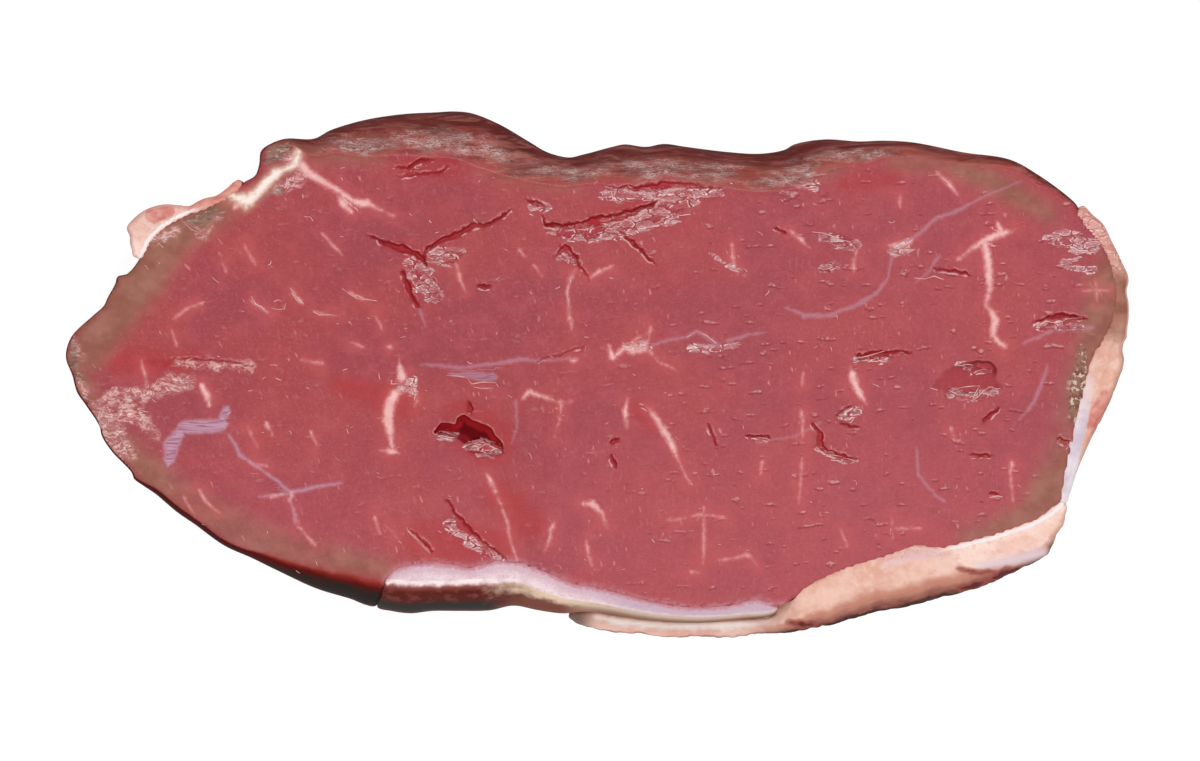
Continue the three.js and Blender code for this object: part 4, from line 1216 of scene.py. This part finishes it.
CREASE_STAINS_AND_SHADE = [      # dark red in the creases of the outer slope: partly blood, partly painted shade
    [(38.4, -50, .1), (41, -50.4, .7), (44, -50.6, .2)],
    [(72.8, -38.9, .1), (75.6, -39.8, .3), (80.6, -40, .2)],
    [(73.4, -43.2, .4), (76, -42.8, .8), (79.6, -41.2, .2), (82, -40.4, .9), (84.6, -39.6, .7),
     (86, -39, .2)],
]
# the ledge's pale crest: a painted highlight
CREST_HIGHLIGHT = [[(-.6, -48.8, .2), (3.7, -49.8, .5), (9.5, -50.4, .6), (15.3, -50.6, .6), (21, -50.7, .6),
          (27, -50.7, .5), (33, -50.1, .4), (37, -49, .1)]]
PALE = [[(77, -38.6, .4), (84, -37.4, 1), (90, -35.8, .8)], [(58, -38.2, .1), (64, -36.4, .5), (69, -36, .2)]]
CRINKLED = [[(57, -37.4, .3), (64, -36, .8), (71, -36, .4)]]
cap_rim = Rim(CAP_RIM, lap=.55, fray=.2, rough=.3)
cap_mesh = slab("fat_cap_piece", cap_rim, cell=.5, under_cell=1)
cap_xy, _, _ = raise_slab(cap_mesh, cap_rim, cap_height, cap_relief)
store(
    cap_mesh,
    ledge=1 - ease(cap_xy[:, 0], 29, 40),
    from_seam=-lean_rim.nearest(cap_xy)[1],
    stain=stroke_depth(frayed(cap_xy), CREASE_STAINS_AND_SHADE, 2),
    crest=ease(stroke_depth(frayed(cap_xy), CREST_HIGHLIGHT, 2), -.9, .3),
    tip=ease(-cap_xy[:, 0], -.5, 4),
    seam_line=ease(cap_xy[:, 0], 66, 76),
    pale=ease(stroke_depth(cap_xy, PALE, 3), -1.2, .8),
    granular=.45 * ease(stroke_depth(cap_xy, CRINKLED), -1, .5),
)

# Cold fat: lumpy and pale, darker down the outer slope as painted shade, dark in its creases, partly blood
# and partly painted shade. A piece has only the marks that it stores: the ledge with its white crest of
# painted highlight and its dark tip of painted shade, the tendon strip, the crinkled film with painted
# highlights, the bare brown rind.
fat_look, tree, shader = new_material("cold_fat")
where, skin = place(), stored("skin", "Vector")
side, shoulder, tendon, granular, seam_line = (
    stored(name) for name in ("side", "shoulder", "tendon", "granular", "seam_line"))
cloud = speckle(where, (7, 5, 6), 3, .55)
lobes = speckle(where, (1.6, 1.4, 1.6), 2)
grains = speckle(where, (.5, .45, .5), 2, .6)
streaks = speckle(skin, (6, .6, 3), 3, .6)
ragged_side = calc("ADD", side, wandering(3, .2))
stain = calc("ADD", stored("stain"), wandering(1.6, .3))
bare = calc("ADD", stored("bare"), wandering(3, .35, 3))
ruddy = calc("ADD", stored("ruddy"), wandering(2.2, .7, 3))
edge_line = calc("ADD", stored("from_seam"), wandering(1.2, .5, 3))
thin = calc("ADD", stored("thin"), wandering(4, .6, 3))
thin = times(fade(calc("ADD", thin, side), 1.55, 1.85), fade(stored("thin"), 0, .1))
outer = fade(shoulder, 1, 2.6, .25, 1)
fill, ridge, gap, _, _ = wet_film(where, 1.5)
# the ledge: a pale crest of painted highlight, darker at its outline and at its left tip as painted shade
crest_tone = coats(
    tint(fade(cloud, .4, .6), "EAB2A2", "F3C8BA"),
    (fade(streaks, .46, .3, 0, .3), "D08A7C"),
    (stored("crest"), "FFF6F1"),
    (fade(ragged_side, .75, 1.05, 0, .9), "8E5A4C"),
    (stored("tip"), "846A62"),
)
bare_tone = coats(tint(fade(cloud, .4, .6), "945F4E", "AE7462"), (fade(ragged_side, .45, .8), "D8A698"))
below = coats(
    tint(fade(cloud, .35, .65), "E2B09E", "F0CCBC"),
    (fade(streaks, .42, .3, 0, .25), "CF8E7C"),
    (fade(lobes, .56, .72, 0, .4), "F6DCD0"),
    (thin, tint(fade(streaks, .4, .6), "6A2422", "863A38")),
)
tone = coats(
    tint(fade(cloud, .35, .65), tint(seam_line, "E3AC97", "F2C6B5"), tint(seam_line, "EEC2B0", "FBDED3")),
    (fade(lobes, .5, .72, 0, .4), "FCE6DE"),
    (fade(lobes, .44, .25, 0, .4), "DE948A"),
    (fade(grains, .45, .28, 0, .2), "D09088"),
    (fade(lobes, .56, .7, 0, .5), "EDB4A6"),
    # darker down the outer slope, with a dark line at its foot: painted shade
    (times(outer, fade(ragged_side, 0, .4, 0, .9)), "C98571"),
    (times(outer, fade(ragged_side, .4, .85, 0, .9)), "85443A"),
    (times(fade(streaks, .46, .3), fade(ragged_side, .1, .5, 0, .4)), "B4665A"),
    (times(fade(ragged_side, .76, .95), fade(shoulder, 1.6, 3)), "3C201C"),
    (stored("ledge"), crest_tone),
    (stored("pale"), "EBD0D4"),
    # dark creases and bruises: partly stain, partly painted shade
    (fade(stain, -.9, 0, 0, .85), "9C4A40"),
    (fade(stain, -.1, .4, 0, .9), "581A1A"),
    (times(granular, .7), "CE8078"),
    (times(granular, fill, .6), "E2ACA4"),
    # painted highlights on the film's ridges and painted shade in its gaps
    (times(granular, ridge, .75), "F6E0DA"),
    (times(granular, gap, .6), "B05A54"),
    (fade(bare, .1, .95), bare_tone),
    (fade(ruddy, .3, .9, 0, .8), tint(fade(lobes, .35, .65), "CF716A", "DC9488")),
    (times(seam_line, band(edge_line, 0, .5)), "F8ECEC"),
    (times(tendon, fade(calc("SUBTRACT", edge_line, tendon), 1, .5)),
     tint(fade(cloud, .4, .6), "D4BFCD", "E8DCE2")),
    (fade(side, 1.02, 1.3), below),
)
dress(shader, Base_Color=tone, Roughness=fade(cloud, .3, .7, .36, .5), Coat_Roughness=.2, IOR=1.45,
      Normal=bumps((lobes, .12), (streaks, .06), (grains, .04)), Coat_Weight=fade(side, .9, .6, .06, .2),
      Specular_IOR_Level=0, Subsurface_Weight=.04, Subsurface_Scale=.002, Subsurface_Radius=(1, .6, .45))

fat_cap = new_piece("fat_cap_piece", cap_mesh, fat_look)
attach(fat_cap, "root")
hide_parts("fat_cap")

# ---------------------------------------------------------------------------------------------------------
# The fat edge: the thin strip of fat and tendon round the right end.

EDGE_RIM = [
    (94.1, -25.6, .5), (95, -24, .6), (97.5, -18, .8), (99.8, -13, 1), (102.5, -8, 1.2), (104, -4.8, 1.3),
    (105, -2, 1.3), (106.2, .5, 1.3), (106.5, 3.5, 1.3), (106.2, 5.5, 1.2), (107, 7.5, 1.2), (107.4, 11, 1),
    (107.4, 14.5, .9), (107, 17, .9), (107.4, 19, .9), (107.2, 20.4, .9), (106.2, 22.5, .9),
    (105.3, 24.5, .9), (104, 27, .9), (102.3, 30.4, .9), (100.3, 32.2, .8), (98, 33.8, .6),
    (97.6, 32.4, .5), (100.1, 29.1, .5), (103, 25, .5), (104.8, 20, .5), (105, 15, .5), (104.3, 10.6, .5),
    (102.1, 6.6, .5), (99.7, 1.5, .5), (98.3, -4, .5), (95.7, -15, .5), (94.5, -21, .5),
]
BRUISE = [[(103.2, -4.4, .3), (102.4, -7, 1), (101.2, -9.4, 1), (99.8, -12, .3)]]
BLUSH = [[(102.4, -4, .5), (101.4, -7, 1.1), (100, -9.8, .9)]]
EDGE_PROUD = .05
edge_rim = Rim(EDGE_RIM, lap=.6, fray=.2, rough=.3)
edge_mesh = slab("fat_edge_piece", edge_rim, cell=.4, under_cell=.9)
edge_xy, _, _ = raise_slab(edge_mesh, edge_rim, lambda xy: face_height(xy) + EDGE_PROUD, cap_relief)
store(
    edge_mesh,
    from_seam=-lean_rim.nearest(edge_xy)[1],
    tendon=ease(-edge_xy[:, 1], -7, 13),
    granular=ease(edge_xy[:, 1], 12, 25),
    bare=ease(edge_xy[:, 1], 1, 14) * ease(-edge_xy[:, 1], -27, -15),
    stain=stroke_depth(frayed(edge_xy), BRUISE, 2) - .8,
    ruddy=1.2 * ease(stroke_depth(edge_xy, BLUSH), -1.2, .3),
)
fat_edge = new_piece("fat_edge_piece", edge_mesh, fat_look)
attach(fat_edge, "root")
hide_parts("fat_edge")

# ---------------------------------------------------------------------------------------------------------
# The fat lip: a small flap of fat left hanging at the upper left.

LIP_RIM = [
    (-92.4, 24.2, .5), (-93.5, 24.4, .6), (-94.5, 26.5, .9), (-94.6, 28, 1), (-95.2, 29.8, 1),
    (-94, 31.5, 1.2), (-91.5, 33.4, 1.2), (-88, 34.5, 1.2), (-85, 34.4, 1), (-82.5, 34.2, .9),
    (-81, 35, .8), (-79.5, 35.7, .8), (-77, 36.3, .8), (-74.5, 37.9, .7), (-72.4, 38.9, .5),
    (-73.6, 36.6, .5), (-77, 34.9, .5), (-80, 33.5, .5), (-84, 32.1, .5), (-87.2, 30.2, .5),
    (-89.2, 28.7, .5), (-90.9, 26.6, .5),
]
LIP_TIPS = [(-92.4, 24.2), (-72.4, 38.9)]
LIP_CREASE = [[(-89.6, 30.9, .1), (-86.4, 32.2, .1)]]
LIP_BLOTCH = [[(-90, 32.2, .8), (-86.6, 33, .6)]]
LIP_SUNK = .1
lip_rim = Rim(LIP_RIM, lap=.6, fray=.2)
lip_mesh = slab("fat_lip_piece", lip_rim, cell=.4, under_cell=.9)
lip_xy, _, _ = raise_slab(lip_mesh, lip_rim, lambda xy: face_height(xy) - LIP_SUNK, cap_relief)
blotch = ease(stroke_depth(lip_xy, LIP_BLOTCH), -1.2, .3)
to_tip = np.linalg.norm(lip_xy[:, None] - LIP_TIPS, axis=2).min(axis=1)
store(
    lip_mesh,
    from_seam=-lean_rim.nearest(lip_xy)[1],
    seam_line=ease(-lip_xy[:, 0], 78, 84),
    stain=-.25 - np.abs(stroke_depth(lip_xy, LIP_CREASE, 2)),
    ruddy=np.maximum(1.6 * blotch, ease(lip_xy[:, 0], -87, -80)),
    granular=.3 * ease(lip_xy[:, 1], 26, 30),
    thin=ease(to_tip, 7, 0),
)
fat_lip = new_piece("fat_lip_piece", lip_mesh, fat_look)
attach(fat_lip, "root")
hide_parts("fat_lip")

# ---------------------------------------------------------------------------------------------------------
# The setting: a pale floor, a long soft light from behind the steak, a fill above it, and a camera that looks
# straight down from far away.

bpy.ops.mesh.primitive_plane_add(size=8, location=(0, 0, -.0003))
floor = bpy.context.object
floor.name = "floor"
floor_look, tree, shader = new_material("pale_floor")
dress(shader, Base_Color=(.2, .2, .2, 1), Roughness=.9, Emission_Color=(1, 1, 1, 1), Emission_Strength=.88)
floor.data.materials.append(floor_look)


def soft_light(name, size, power, at, toward=(0, 0, 0)):
    """A rectangular lamp of size [width, height] that faces a point."""
    lamp = bpy.data.lights.new(name, "AREA")
    lamp.shape, lamp.energy = "RECTANGLE", power
    lamp.size, lamp.size_y = size
    holder = bpy.data.objects.new(name, lamp)
    holder.location = at
    holder.rotation_euler = (Vector(toward) - Vector(at)).to_track_quat("-Z", "Y").to_euler()
    bpy.context.collection.objects.link(holder)


soft_light("strip_behind", size=(1.2, .04), power=2.9, at=(0, .42, .85))
soft_light("fill_above", size=(1.6, 1.6), power=13.4, at=(0, -.5, 1.5))

world = bpy.data.worlds.new("studio")
world.use_nodes = True
world.node_tree.nodes["Background"].inputs["Color"].default_value = (1, 1, 1, 1)
world.node_tree.nodes["Background"].inputs["Strength"].default_value = .4
bpy.context.scene.world = world
bpy.context.scene.view_settings.view_transform = "Standard"

VIEW_WIDTH = .2432          # of the board that the picture takes in
SENSOR, LENS = 36, 300
camera = bpy.data.cameras.new("camera")
camera.sensor_width, camera.lens = SENSOR, LENS
viewer = bpy.data.objects.new("camera", camera)
viewer.location = (.0005, -.0011, .012 + VIEW_WIDTH * LENS / SENSOR)
bpy.context.collection.objects.link(viewer)
bpy.context.scene.camera = viewer
